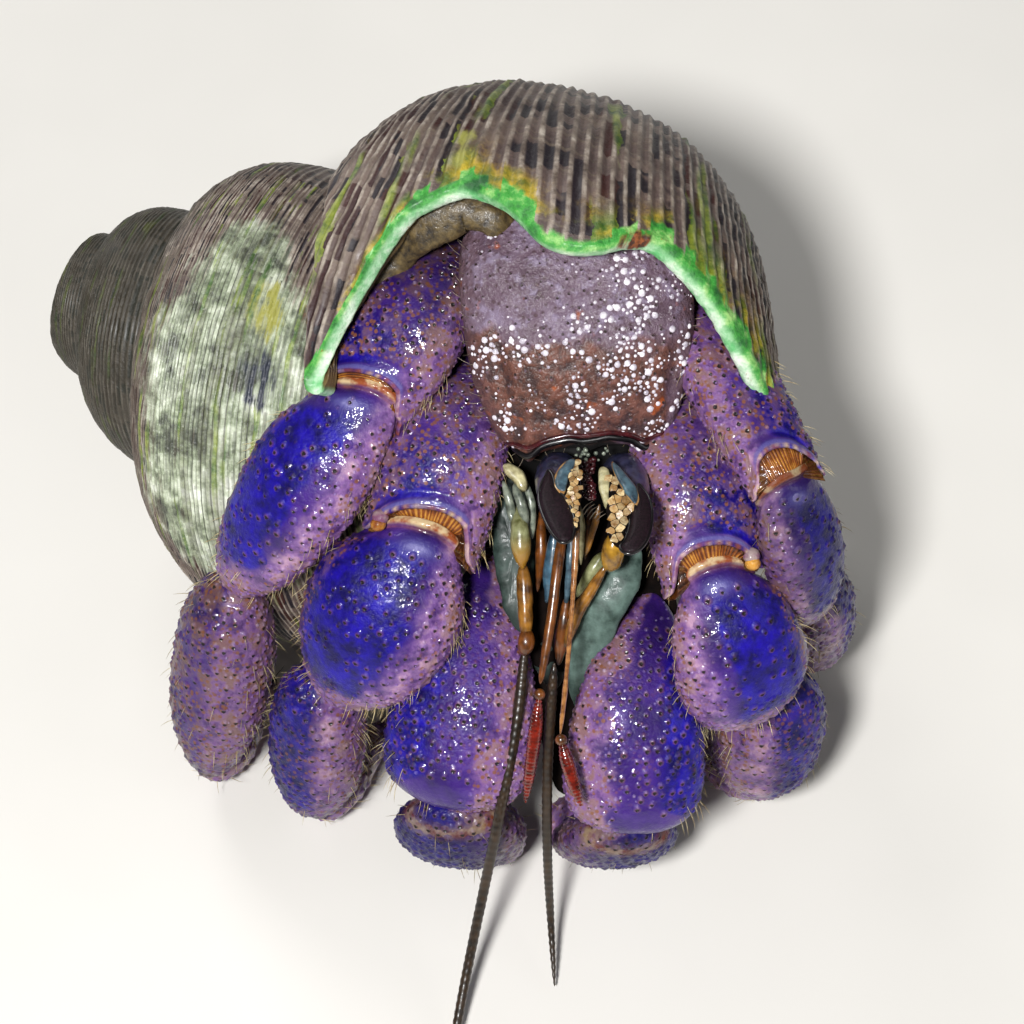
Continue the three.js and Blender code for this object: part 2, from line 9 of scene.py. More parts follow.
import bpy
import numpy as np
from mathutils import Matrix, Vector


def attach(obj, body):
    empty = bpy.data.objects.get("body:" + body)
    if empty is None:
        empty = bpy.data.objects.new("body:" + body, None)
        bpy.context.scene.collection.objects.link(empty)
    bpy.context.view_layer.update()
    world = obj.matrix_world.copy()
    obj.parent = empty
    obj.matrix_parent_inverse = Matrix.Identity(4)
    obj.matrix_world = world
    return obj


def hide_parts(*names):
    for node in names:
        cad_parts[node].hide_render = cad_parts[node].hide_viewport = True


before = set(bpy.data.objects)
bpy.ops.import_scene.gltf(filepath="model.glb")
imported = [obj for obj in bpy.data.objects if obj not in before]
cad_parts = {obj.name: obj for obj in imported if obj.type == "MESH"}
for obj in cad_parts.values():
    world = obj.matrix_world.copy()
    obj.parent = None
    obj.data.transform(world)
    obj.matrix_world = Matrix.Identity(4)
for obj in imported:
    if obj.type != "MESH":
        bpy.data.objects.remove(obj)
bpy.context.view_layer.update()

MM = 0.001
LAYOUT = np.array([3.395, 9.819, 0.0])  # the CAD layout's origin, in the frame


# ---- Colours and nodes ----
def paint(hex_colour):
    """Linear colour of an sRGB hex one."""
    channels = [int(hex_colour[i : i + 2], 16) / 255 for i in (1, 3, 5)]
    return (*[c / 12.92 if c <= 0.04045 else ((c + 0.055) / 1.055) ** 2.4 for c in channels], 1.0)


def add(tree, kind, inputs=(), **settings):
    """Adds a node with its settings and links. Its inputs come in order or by name, and each is a value, a
    socket, a node, or a tuple that is added as a node of its own: a Math node's (operation, term, ...),
    ("SMOOTHSTEP", value, low, high), ("NOISE", place, lumps in a metre, detail, roughness), or
    ("RAMP", place, (stop, hex colour), ...). The kind can be such a tuple, or a name, which without Node
    in it is a shader node's."""
    stops = ()
    if isinstance(kind, tuple):
        operation, *inputs = kind
        if operation == "RAMP":
            kind, inputs, stops = "ValToRGB", inputs[:1], inputs[1:]
        elif operation == "NOISE":
            kind, inputs = "TexNoise", dict(zip(("Vector", "Scale", "Detail", "Roughness"), inputs))
        elif operation == "SMOOTHSTEP":
            kind, settings = "MapRange", {"interpolation_type": operation}
        else:
            kind, settings = "Math", {"operation": operation}
    node = tree.nodes.new(kind if "Node" in kind else "ShaderNode" + kind)
    for name, value in settings.items():
        setattr(node, name, value)
    for key, value in inputs.items() if isinstance(inputs, dict) else enumerate(inputs):
        if isinstance(value, tuple) and isinstance(value[0], str):
            value = add(tree, value)
        if isinstance(value, bpy.types.Node):
            value = value.outputs[0]
        if isinstance(value, bpy.types.NodeSocket):
            tree.links.new(value, node.inputs[key])
        else:
            node.inputs[key].default_value = value
    if stops:
        for element, (at, shade) in zip(node.color_ramp.elements, (stops[0], stops[-1])):
            element.position, element.color = at, paint(shade)
        for at, shade in stops[1:-1]:
            node.color_ramp.elements.new(at).color = paint(shade)
    return node


# ---- Shapes in numbers ----
def unit(v):
    return v / np.maximum(np.linalg.norm(v, axis=-1, keepdims=True), 1e-9)


def step(low, high, x):
    """0 below low, 1 above high, smooth between."""
    k = np.clip((np.asarray(x, float) - low) / (high - low), 0, 1)
    return k * k * (3 - 2 * k)


def bell(x, middle, spread):
    return np.exp(-(((x - middle) / spread) ** 2))


def lumps(points, size, seed=0):
    """Smooth random heights, -1 to 1, with lumps about size across."""
    p = points / size + seed * 17.31
    cell = np.floor(p).astype(np.int64)
    part = p - cell
    fade = part * part * (3 - 2 * part)
    total = np.zeros(points.shape[:-1])
    for corner in itertools.product((0, 1), repeat=3):
        c = cell + np.array(corner)
        mixed = (c[..., 0] * 73856093) ^ (c[..., 1] * 19349663) ^ (c[..., 2] * 83492791)
        height = ((mixed * 2654435761) % 65536) / 32767.5 - 1
        weight = np.prod(np.where(np.array(corner) == 1, fade, 1 - fade), axis=-1)
        total = total + height * weight
    return total


def along_stations(stations, t):
    """Value at t (0 to 1) of a smooth line through evenly spaced stations."""
    s = np.asarray(stations, float)
    place = np.clip(t, 0, 1) * (len(s) - 1)
    i = np.minimum(np.floor(place).astype(int), len(s) - 2)
    f = place - i
    before, start, end, after = (s[np.clip(i + k, 0, len(s) - 1)] for k in (-1, 0, 1, 2))
    slope = (end - before) * f
    bend = (2 * before - 5 * start + 4 * end - after) * f**2
    twist = (3 * start - before - 3 * end + after) * f**3
    return start + 0.5 * (slope + bend + twist)


def smooth_path(points):
    """Evenly spaced points on a smooth curve through the given ones, with its direction at each."""
    count = 240
    p = np.asarray(points, float)
    if len(p) == 2:
        line = p[0] + np.linspace(0, 1, count)[:, None] * (p[1] - p[0])
        return line, np.repeat(unit(p[1] - p[0])[None], count, 0)
    p = np.vstack([2 * p[0] - p[1], p, 2 * p[-1] - p[-2]])
    pieces = []
    for a, b, c, d in zip(p, p[1:], p[2:], p[3:]):
        ab, bc, cd = (max(np.linalg.norm(v) ** 0.5, 1e-4) for v in (b - a, c - b, d - c))
        leave = ((b - a) / ab - (c - a) / (ab + bc) + (c - b) / bc) * bc
        arrive = ((c - b) / bc - (d - b) / (bc + cd) + (d - c) / cd) * bc
        f = np.linspace(0, 1, 80)[:, None]
        pieces.append(
            b + leave * f + (3 * (c - b) - 2 * leave - arrive) * f**2 + (2 * (b - c) + leave + arrive) * f**3
        )
    line = np.vstack([pieces[0]] + [q[1:] for q in pieces[1:]])
    run = np.concatenate([[0], np.cumsum(np.linalg.norm(np.diff(line, axis=0), axis=1))])
    at = np.linspace(0, run[-1], count)
    line = np.stack([np.interp(at, run, line[:, k]) for k in range(3)], -1)
    return line, unit(np.gradient(line, axis=0))


class Skin:
    """A skin over a grid of points, along by round, closed at both ends, with named marks at its points."""

    def __init__(self, points):
        self.points = points
        self.marks = {}

    def normals(self):
        p = self.points
        n = unit(np.cross(np.roll(p, -1, 1) - np.roll(p, 1, 1), np.gradient(p, axis=0)))
        return n if (n * (p - p.mean((0, 1)))).sum() > 0 else -n

    def push(self, height):
        self.points = self.points + self.normals() * np.asarray(height)[..., None]

    def measure(self):
        """Finds how far each point is from both ends, along the skin."""
        gaps = np.linalg.norm(np.diff(self.points, axis=0), axis=-1)
        self.walk = np.vstack([np.zeros((1, gaps.shape[1])), np.cumsum(gaps, 0)])
        self.left = self.walk[-1:] - self.walk

    def cup(self, at_end, depth):
        """Turns an open end in on itself: a rolled edge, then a hollow, painted dark inside as shade."""
        edge = self.points[-1 if at_end else 0]
        way = self.ahead[-1 if at_end else 0] * (1 if at_end else -1)
        middle = edge.mean(0)
        turns = ((0.975, 0.05), (0.93, 0.06), (0.88, -0.08), (0.83, -0.5 * depth), (0.55, -depth))
        rings = np.stack([middle + (edge - middle) * shrink + way * reach for shrink, reach in turns])
        shades = np.array([0.0, 0.2, 0.7, 1.0, 1.0])[:, None] * np.ones(len(edge))
        for key, value in self.marks.items():
            value = np.asarray(value, float) * (1 if key == "lie" else np.ones(self.points.shape[:2]))
            ring = np.repeat(value[-1:] if at_end else value[:1], len(turns), 0)
            if key in ("pitted", "beaded", "bristly"):
                ring = ring * 0
            if key == "shade":
                ring = np.maximum(ring, shades)
            self.marks[key] = np.concatenate([value, ring] if at_end else [ring[::-1], value])
        self.points = np.concatenate([self.points, rings] if at_end else [rings[::-1], self.points])


FACING_UP_FRONT = np.array([0, -0.57, 0.82])


def limb_skin(
    path,
    width,
    top,
    bottom=None,
    face=FACING_UP_FRONT,
    ends=(4, 4),
    closed=(True, True),
    square=2,
    spacing=0.2,
):
    """The skin of a limb, with t along it, s and c the shares of the way to its outer face and across it."""
    line, ahead = smooth_path(path)
    length = np.linalg.norm(np.diff(line, axis=0), axis=1).sum()
    breadth = np.mean(width)
    rings = max(10, int(length / spacing * 1.25))
    sides = max(12, int(2 * math.pi * breadth * 0.85 / spacing))
    t = 0.5 - 0.5 * np.cos(np.pi * (np.arange(rings) + 0.35) / (rings - 0.3))
    angle = 2 * math.pi * np.arange(sides) / sides
    power = np.where(t < 0.5, ends[0], ends[1])
    closing = np.sqrt(np.maximum(1 - np.abs(1 - 2 * t) ** power, 0))
    closing = np.where(np.where(t < 0.5, closed[0], closed[1]), closing, 1.0)
    at = t * (len(line) - 1)
    centre = np.stack([np.interp(at, np.arange(len(line)), line[:, k]) for k in range(3)], -1)
    tangent = unit(np.stack([np.interp(at, np.arange(len(line)), ahead[:, k]) for k in range(3)], -1))
    face = np.asarray(face, float)
    up = unit(face - tangent * (tangent @ face)[:, None])
    across = np.cross(up, tangent)
    c, s = np.cos(angle), np.sin(angle)
    square = 2 / square
    below = along_stations(top if bottom is None else bottom, t)
    above = along_stations(top, t)
    wide = (along_stations(width, t) * closing)[:, None] * (np.sign(c) * np.abs(c) ** square)
    deep = (
        np.where(s > 0, above[:, None], below[:, None]) * closing[:, None] * np.sign(s) * np.abs(s) ** square
    )
    skin = Skin(centre[:, None] + across[:, None] * wide[..., None] + up[:, None] * deep[..., None])
    skin.ahead = np.repeat(tangent[:, None], sides, 1)
    skin.t = np.repeat(t[:, None], sides, 1)
    skin.s = np.repeat(s[None], rings, 0)
    skin.c = np.repeat(c[None], rings, 0)
    skin.across = across
    skin.angle = np.repeat(angle[None], rings, 0)
    skin.marks["lie"] = skin.ahead
    skin.measure()
    return skin


def ball_skin(centre, sizes, rings=9, sides=14):
    """An ellipsoid with three half-sizes."""
    rise = math.pi * ((np.arange(rings) + 0.5) / rings - 0.5)
    angle = 2 * math.pi * np.arange(sides) / sides
    c = np.cos(rise)[:, None]
    local = np.stack([c * np.cos(angle), c * np.sin(angle), np.repeat(np.sin(rise)[:, None], sides, 1)], -1)
    return Skin(np.asarray(centre, float) + local * np.asarray(sizes, float))


MARKS = (
    "indigo", "mauve", "tan", "rim", "ribbed", "wave", "cream", "crown", "pit", "halo", "shade", "bristly",
    "pitted", "beaded",
)


def give(mesh, key, values, kind="FLOAT"):
    """An attribute at the mesh's points, of numbers or of places."""
    layer = mesh.attributes.new(key, kind, "POINT")
    layer.data.foreach_set("value" if kind == "FLOAT" else "vector", np.asarray(values, np.float32).ravel())


def mesh_of(name, skins):
    """One closed mesh of several skins, in the frame, with the marks and a place for each point on a flat
    map of the skins, where no two skins meet."""
    points, faces, start = [], [], 0
    marks = {key: [] for key in MARKS}
    lie, flat = [], []
    tiles = math.ceil(math.sqrt(len(skins)))
    for number, skin in enumerate(skins):
        rings, sides = skin.points.shape[:2]
        poles = np.stack([skin.points[0].mean(0), skin.points[-1].mean(0)])
        points.append(np.vstack([skin.points.reshape(-1, 3), poles]))
        i, j = np.meshgrid(np.arange(rings - 1), np.arange(sides), indexing="ij")
        k = (j + 1) % sides
        quads = np.stack([i * sides + j, i * sides + k, (i + 1) * sides + k, (i + 1) * sides + j], -1)
        j = np.arange(sides)
        k = (j + 1) % sides
        first, last = rings * sides, rings * sides + 1
        caps = [(first, b, a) for a, b in zip(j, k)]
        end = (rings - 1) * sides
        caps += [(last, end + a, end + b) for a, b in zip(j, k)]
        a, b, c, d = (skin.points.reshape(-1, 3)[quads[..., q]] - skin.points.mean((0, 1)) for q in range(4))
        volume = (np.cross(a, b) * c).sum() + (np.cross(a, c) * d).sum()
        turn = -1 if volume < 0 else 1
        faces += [tuple(int(q) + start for q in f[::turn]) for f in quads.reshape(-1, 4)]
        faces += [tuple(int(q) + start for q in f[::turn]) for f in caps]
        start += rings * sides + 2
        for key in MARKS:
            value = np.asarray(skin.marks.get(key, 0.0), float) * np.ones((rings, sides))
            marks[key].append(np.concatenate([value.ravel(), [value[0].mean(), value[-1].mean()]]))
        way = skin.marks.get("lie", np.ones((rings, sides, 3)))
        lie.append(np.vstack([way.reshape(-1, 3), way[0, 0], way[-1, 0]]))
        u, v = np.meshgrid(np.linspace(0.05, 0.95, rings), np.linspace(0.05, 0.95, sides), indexing="ij")
        square = np.stack([u, v], -1).reshape(-1, 2)
        square = np.vstack([square, [0.03, 0.5], [0.97, 0.5]])
        flat.append((square + [number % tiles, number // tiles]) / tiles)
    mesh = bpy.data.meshes.new(name)
    mesh.from_pydata(((np.vstack(points) + LAYOUT) * MM).tolist(), [], faces)
    for key in MARKS:
        give(mesh, key, np.clip(np.concatenate(marks[key]), 0, 1))
    give(mesh, "lie", np.vstack(lie), "FLOAT_VECTOR")
    spread = np.vstack(flat)
    give(mesh, "root_place", np.column_stack([spread, np.zeros(len(spread))]), "FLOAT_VECTOR")
    mesh.shade_smooth()
    return mesh


def piece(name, mesh, finish, replaced=()):
    """A finished piece that rides on the model's one body."""
    made = bpy.data.objects.new(name, mesh)
    bpy.context.scene.collection.objects.link(made)
    mesh.materials.clear()
    mesh.materials.append(finish)
    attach(made, "root")
    if replaced:
        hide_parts(*replaced)
    return made


def skin_piece(name, skins, finish, replaced=()):
    return piece(name, mesh_of(name, skins if isinstance(skins, list) else [skins]), finish, replaced)


# ---- Finishes ----
def new_finish(name):
    finish = bpy.data.materials.new(name)
    finish.use_nodes = True
    tree = finish.node_tree
    tree.nodes.clear()
    return finish, tree


def layered(tree, colour, layers, blend="MIX"):
    """Lays colours over one another, each through its mask."""
    for mask, shade in layers:
        shade = paint(shade) if isinstance(shade, str) else shade
        colour = add(tree, "MixRGB", [mask, colour, shade], blend_type=blend)
    return colour


def violet_cuticle():
    """Crab cuticle: hard, wax-smooth and wet. Deep indigo on the outer faces, lilac and mauve towards the
    edges, tan specks, dark setal pits with a bump beside each whose crown is painted pale, partly its own
    colour and partly a highlight, and glints from the wet film."""
    finish, tree = new_finish("violet_cuticle")
    place = add(tree, "TexCoord").outputs["Object"]
    mark = {
        key: add(tree, "Attribute", attribute_name=key).outputs["Fac"]
        for key in (
            "indigo", "mauve", "tan", "rim", "ribbed", "wave", "cream", "crown", "pit", "halo", "shade"
        )
    }
    cloud = add(tree, ("NOISE", place, 380.0, 4.0, 0.6))  # washes of colour 2.6 mm across
    patchy = add(tree, ("NOISE", place, 1100.0, 3.0, 0.6))  # mottles 0.9 mm across
    grain = add(tree, ("NOISE", place, 4200.0, 3.0, 0.65))  # grain 0.24 mm across, the finest that shows
    speck = add(tree, "TexVoronoi", {"Vector": place, "Scale": 3000.0})

    def ragged(socket, low, high, by=0.5):
        """A mark with its edge pushed in and out by the clouds."""
        shift = add(tree, ("MULTIPLY_ADD", cloud, by, socket))
        return add(tree, ("SMOOTHSTEP", shift, low + by * 0.5, high + by * 0.5))

    colour = add(tree, ("RAMP", cloud, (0.3, "#1e0c46"), (0.5, "#34186a"), (0.72, "#4c2c86")))
    fleck = add(tree, ("SMOOTHSTEP", speck.outputs["Distance"], 0.42, 0.22))
    tan = add(tree, ("MULTIPLY", ragged(mark["tan"], 0.2, 0.9, 0.9), ("SMOOTHSTEP", patchy, 0.42, 0.62)))
    tan_fleck = add(tree, ("MULTIPLY", fleck, ragged(mark["tan"], 0.1, 0.6, 0.9)))
    # On the knee's ribs the wave mark lifts the ramp: crests painted light as highlights, furrows painted dark
    # as shade, over a real mottle.
    mottle_and_rib_shade = add(tree, ("MULTIPLY_ADD", patchy, 1.1, ("MULTIPLY_ADD", mark["wave"], 0.5, -0.35)))
    ribs = add(tree, ("RAMP", mottle_and_rib_shade, (0.15, "#30140a"), (0.5, "#7c4014"), (0.85, "#c8903c")))
    inside = add(tree, ("SUBTRACT", 1.0, mark["indigo"]))
    warm = add(tree, ("MULTIPLY", mark["halo"], ("SMOOTHSTEP", patchy, 0.4, 0.6)))
    colour = layered(
        tree,
        colour,
        [
            (
                ragged(mark["mauve"], 0.15, 0.8),
                ("RAMP", patchy, (0.33, "#482a60"), (0.5, "#805a92"), (0.66, "#b08aa4")),
            ),
            (ragged(mark["indigo"], 0.3, 0.75), ("RAMP", patchy, (0.35, "#0a0346"), (0.65, "#180890"))),
            (("MULTIPLY", tan, 0.8), "#6c4c40"),
            (("MULTIPLY", tan_fleck, 0.8), "#7a4a26"),
            # The rim ramp: the merus's blue band above the knee stays below 0.8; the carpus's shoulder band
            # goes paler, partly as a painted sheen.
            (
                mark["rim"],
                ("RAMP", mark["rim"], (0.2, "#281e60"), (0.6, "#3a3476"), (0.8, "#504c8a"), (1.0, "#8480b0")),
            ),
            (mark["ribbed"], ribs),
            (mark["cream"], ("RAMP", patchy, (0.42, "#8c4616"), (0.58, "#c4aa80"))),
        ],
    )
    # The crowns of the bumps and grains are painted pale lilac: partly their own paler colour, partly a painted
    # highlight.
    lit = add(tree, ("MULTIPLY", mark["crown"], ("MULTIPLY_ADD", inside, 0.5, 0.08)))
    colour = layered(
        tree,
        colour,
        [
            (lit, ("RAMP", patchy, (0.36, "#84563e"), (0.48, "#7862a8"), (0.62, "#b8a2c8"))),
            (("MULTIPLY", warm, 0.5), "#7c4a20"),
            (mark["pit"], "#160a0e"),
        ],
    )
    colour = layered(tree, colour, [(mark["shade"], "#2c2226")], "MULTIPLY")
    gloss = add(
        tree, "MapRange", {"Value": grain, "From Min": 0.3, "From Max": 0.7, "To Min": 0.3, "To Max": 0.6}
    )
    dents = add(tree, "Bump", {"Height": grain, "Strength": 0.6, "Distance": 0.0001})
    film = add(tree, "Bump", {"Height": patchy, "Strength": 0.7, "Distance": 0.00022})
    inputs = {"Base Color": colour, "Roughness": gloss, "Normal": dents, "Coat Normal": film}
    wet = add(tree, ("MULTIPLY_ADD", inside, 0.4, 0.13))
    inputs.update({"Coat Weight": wet, "Coat Roughness": 0.07, "Specular IOR Level": 0.22})
    shader = add(tree, "BsdfPrincipled", inputs)
    add(tree, "OutputMaterial", {"Surface": shader})
    return finish


def shield_cuticle():
    """The crab's hard back plate: matter than the legs, mauve-grey behind and brown in front, speckled."""
    finish, tree = new_finish("shield_cuticle")
    place = add(tree, "TexCoord").outputs["Object"]
    mark = {
        key: add(tree, "Attribute", attribute_name=key).outputs["Fac"]
        for key in ("mauve", "tan", "rim", "pit", "halo", "crown", "shade")
    }
    cloud = add(tree, ("NOISE", place, 330.0, 5.0, 0.65))  # washes of colour 3 mm across
    patchy = add(tree, ("NOISE", place, 1500.0, 4.0, 0.6))  # mottles 0.7 mm across
    grain = add(tree, ("NOISE", place, 4500.0, 3.0, 0.65))  # grain 0.22 mm across, the finest that shows
    rust = add(tree, ("NOISE", place, 800.0, 2.0, 0.6))  # rusty spots 1.2 mm across
    speck = add(tree, "TexVoronoi", {"Vector": place, "Scale": 2600.0})
    colour = add(tree, ("RAMP", cloud, (0.3, "#483440"), (0.5, "#604c5a"), (0.7, "#7a6a80")))
    shift = add(tree, ("MULTIPLY_ADD", cloud, 0.9, mark["tan"]))
    brown = add(tree, ("SMOOTHSTEP", shift, 0.78, 1.02))
    dark = add(tree, ("MULTIPLY", ("SMOOTHSTEP", speck.outputs["Distance"], 0.36, 0.12), 0.6))
    colour = layered(
        tree,
        colour,
        [
            (("MULTIPLY", ("SMOOTHSTEP", patchy, 0.5, 0.66), 0.5), "#9286a0"),
            (("MULTIPLY", brown, 0.9), ("RAMP", patchy, (0.38, "#2c140a"), (0.62, "#6a3c26"))),
            (dark, "#38211f"),
            (("SMOOTHSTEP", rust, 0.66, 0.74), "#94481f"),
            (mark["mauve"], "#5c4446"),
            # Near-black on the front margin's line and, as painted shade, on the front cap under it.
            (mark["rim"], "#070304"),
        ],
    )
    # The crowns of the bumps beside the pits are painted pale: partly their own colour, partly a painted
    # highlight.
    lit = add(tree, ("MULTIPLY", mark["crown"], 0.45))
    colour = layered(tree, colour, [(lit, "#a493a8"), (mark["pit"], "#24110f")])
    colour = layered(tree, colour, [(mark["shade"], "#2c2226")], "MULTIPLY")
    dents = add(tree, "Bump", {"Height": grain, "Strength": 0.6, "Distance": 0.0001})
    dents = add(tree, "Bump", {"Height": patchy, "Normal": dents, "Strength": 0.8, "Distance": 0.0003})
    matt = add(tree, ("MULTIPLY_ADD", mark["rim"], 0.45, 0.48))
    inputs = {"Base Color": colour, "Roughness": matt, "Normal": dents, "Coat Normal": dents}
    inputs.update({"Coat Weight": 0.22, "Coat Roughness": 0.14, "Specular IOR Level": 0.35})
    shader = add(tree, "BsdfPrincipled", inputs)
    add(tree, "OutputMaterial", {"Surface": shader})
    return finish


def plain_finish(name, low, high, size, roughness, bump=0.3, coat=0.0, depth=0.00005, shine=0.5, tip=None):
    """A surface mottled between two colours, in mottles about size millimetres across; its tip can differ."""
    finish, tree = new_finish(name)
    place = add(tree, "TexCoord").outputs["Object"]
    mottle = add(tree, ("NOISE", place, 1000.0 / size, 4.0, 0.6))
    mark = {key: add(tree, "Attribute", attribute_name=key).outputs["Fac"] for key in ("pit", "shade", "tan")}
    # Among the plain finishes only the thorax's front carries the pit mark; there it paints shade.
    colour = layered(tree, ("RAMP", mottle, (0.33, low), (0.68, high)), [(mark["pit"], "#1c0d12")])
    if tip:
        colour = layered(tree, colour, [(mark["tan"], tip)])
    colour = layered(tree, colour, [(mark["shade"], "#2c2226")], "MULTIPLY")
    dents = add(tree, "Bump", {"Height": mottle, "Strength": bump, "Distance": depth})
    inputs = {"Base Color": colour, "Roughness": roughness, "Normal": dents, "Coat Normal": dents}
    inputs.update({"Coat Weight": coat, "Coat Roughness": 0.1, "Specular IOR Level": shine})
    shader = add(tree, "BsdfPrincipled", inputs)
    add(tree, "OutputMaterial", {"Surface": shader})
    return finish


VIOLET = violet_cuticle()
SHIELD = shield_cuticle()
# Plain finishes: each a surface of the living animal, with what it gives the eye; one of them paints the shade
# in the head's deep gaps.
# Mineral pearls, smooth and wet: small round highlights on white.
PEARL = plain_finish("pearl_granule", "#9d94a2", "#f4eef4", 0.5, 0.2, coat=0.5)
# Chitin bristles, clear and golden: pale streaks that catch the light.
BRISTLE = plain_finish("golden_bristle", "#7a5c28", "#e6d6a4", 0.7, 0.35)
PALE_BRISTLE = plain_finish("pale_bristle", "#5f5046", "#b5a690", 0.5, 0.4)
# Cornea of facets about 0.03 mm wide, drawn 0.12 mm wide so that they show: dull black.
CORNEA = plain_finish("cornea_facets", "#080305", "#22121a", 0.12, 0.55, bump=0.5, coat=0.04, shine=0.2)
EYE_EDGE = plain_finish("eye_edge_cuticle", "#040304", "#0c080a", 0.5, 0.3, coat=0.3)
# Cuticle of the stalks, polished and pigmented in patches: slate and steel blue under a wet gloss.
STALK = plain_finish("eyestalk_cuticle", "#141428", "#3e4060", 0.5, 0.35, bump=0.6, coat=0.6)
BLUE_PATCH = plain_finish("blue_green_cuticle", "#222f3c", "#54707c", 0.5, 0.35, bump=0.6, coat=0.3)
TAN_EDGE = plain_finish("tan_cuticle", "#7a4a20", "#b8945e", 0.4, 0.3, coat=0.4)
# Gold pigment in raised plates: grainy ochre to cream that glints.
FLAKE = plain_finish("gold_flake_cuticle", "#80500e", "#fae6b2", 0.4, 0.2, bump=0.8, coat=0.8, tip="#94601a")
# Soft skin deep between and below the eyes, painted near-black with no gloss as the shade that fills those
# gaps.
SHADE_SHEET = plain_finish("painted_shade_skin", "#040202", "#140b07", 0.8, 0.9, shine=0.1)
# Thin cuticle of rods and stems, see-through brown to honey: dark cores with bright wet lines.
HONEY = plain_finish("honey_cuticle", "#40240a", "#9c6a26", 0.7, 0.28, coat=0.5)
STEM = plain_finish("antennule_stem", "#4a1e0a", "#b07a44", 0.4, 0.2, coat=0.9)
# Slimy skin, wrinkled and brown: broad dull highlights.
MANTLE = plain_finish("mantle_collar", "#1c140a", "#63522f", 0.4, 0.5, bump=0.8, coat=0.12, depth=0.0001)
# Thick red-brown cuticle: near black with sharp highlights.
GARNET = plain_finish("garnet_cuticle", "#1c0609", "#4a1418", 0.5, 0.2, coat=0.6)
# Bare skin inside the shell: matt grey-green.
SOFT = plain_finish("soft_cuticle", "#2c3836", "#5d7068", 1.6, 0.65, shine=0.15)
# Cuticle of the mouthparts, leathery and teal, with a faint wet film.
TEAL = plain_finish(
    "teal_cuticle", "#2a3a34", "#5f746c", 0.8, 0.5, bump=0.5, coat=0.06, depth=0.0001, shine=0.25
)
# Smooth cuticle of the feelers' bases and the rods, from olive and cream to gold and amber.
OLIVE = plain_finish("olive_cuticle", "#4c4c26", "#989a70", 0.7, 0.3, coat=0.4, tip="#94691c")
CREAM = plain_finish("cream_cuticle", "#6d6440", "#cfc79a", 0.55, 0.35, coat=0.3)
GOLDEN = plain_finish("golden_cuticle", "#4c2f0a", "#b88a2a", 0.8, 0.25, coat=0.5)
AMBER = plain_finish("amber_cuticle", "#2c1404", "#7a4414", 0.6, 0.32, coat=0.35)
# Horny rings of the feelers: brown-black with little gloss.
FEELER = plain_finish("feeler_cuticle", "#100a05", "#33220f", 0.5, 0.4, coat=0.1)
# Clear red cuticle of the lashes: glassy edges.
RUBY = plain_finish("antennule_lash", "#300804", "#86200e", 0.35, 0.22, coat=0.8)
# Smooth cuticle tinted by the skin below: slate blue and grey-green.
SKY = plain_finish("blue_cuticle", "#182a38", "#486c80", 0.7, 0.32, coat=0.3)
GREY = plain_finish("grey_cuticle", "#3c443c", "#8a9180", 0.4, 0.35, coat=0.3)

# ---- Limbs, from the CAD's tables ----
LEGS = {
    "leg2_right": {
        "lobe": 1.5, "dusk": 0.5, "tilt": 0.55, "lengthwise": True, "face": (-0.15, -0.6, 0.8),
        "hip": (-1.6, -2.4, 23.6), "thigh": (-3.1, -7.0, 23.2), "knee": (-4.3, -10.7, 20.9),
        "shin": (-6.6, -13.9, 17.4), "wrist": (-9.2, -15.6, 12.2), "heel": (-9.7, -14.0, 12.8),
        "ankle": (-10.4, -16.4, 2.6), "tip": (-6.4, -9.0, -0.05), "merus": (2.2, 2.7, 3.2, 3.0),
        "carpus": (2.3, 3.85, 3.6, 2.1), "propodus": (2.3, 2.5, 2.4, 1.7),
    },
    "leg2_left": {
        "lobe": 1.2, "dusk": 0.3, "tilt": 0.3, "lengthwise": True, "face": (0.2, -0.6, 0.8),
        "hip": (7.2, -3.4, 23.6), "thigh": (9.0, -9.1, 23.2), "knee": (9.8, -13.0, 21.0),
        "shin": (11.1, -15.7, 17.8), "wrist": (12.1, -16.7, 12.4), "heel": (13.1, -14.6, 12.8),
        "ankle": (13.2, -15.4, 3.2), "tip": (8.6, -9.0, -0.05), "merus": (2.0, 2.6, 2.9, 2.6),
        "carpus": (1.9, 3.1, 3.5, 2.8), "propodus": (2.8, 3.0, 2.8, 1.8),
    },
    "leg3_right": {
        "lobe": 0.9, "dusk": 0.8, "tilt": 1.15, "tanned": 0.5, "lengthwise": False,
        "face": (-0.35, -0.5, 0.8), "hip": (-2.6, 2.2, 27.6), "thigh": (-4.9, -2.6, 27.3),
        "knee": (-7.2, -5.4, 25.0), "shin": (-10.4, -8.8, 21.7), "wrist": (-14.4, -10.6, 15.0),
        "heel": (-14.1, -9.9, 15.2), "ankle": (-16.1, -14.0, 2.5), "tip": (-13.0, -6.4, -0.05),
        "merus": (2.4, 2.8, 3.1, 2.7), "carpus": (2.3, 3.15, 2.8, 2.0), "propodus": (2.4, 2.7, 2.5, 1.7),
    },
    "leg3_left": {
        "lobe": 0.8, "dusk": 0.3, "dim": 0.4, "tilt": 0.6, "outer_tilt": 0.15, "knobbed": False,
        "lengthwise": True, "face": (0.5, -0.5, 0.7), "hip": (8.0, 1.6, 25.4), "thigh": (10.5, -5.2, 26.2),
        "knee": (13.1, -10.4, 25.0), "shin": (14.4, -11.8, 20.6), "wrist": (15.3, -11.7, 14.6),
        "heel": (15.4, -8.8, 13.2), "ankle": (16.4, -7.2, 3.4), "tip": (12.4, -1.6, -0.05),
        "merus": (2.0, 2.4, 2.4, 2.1), "carpus": (1.7, 2.3, 2.4, 2.1), "propodus": (2.0, 2.4, 2.2, 1.6),
    },
}
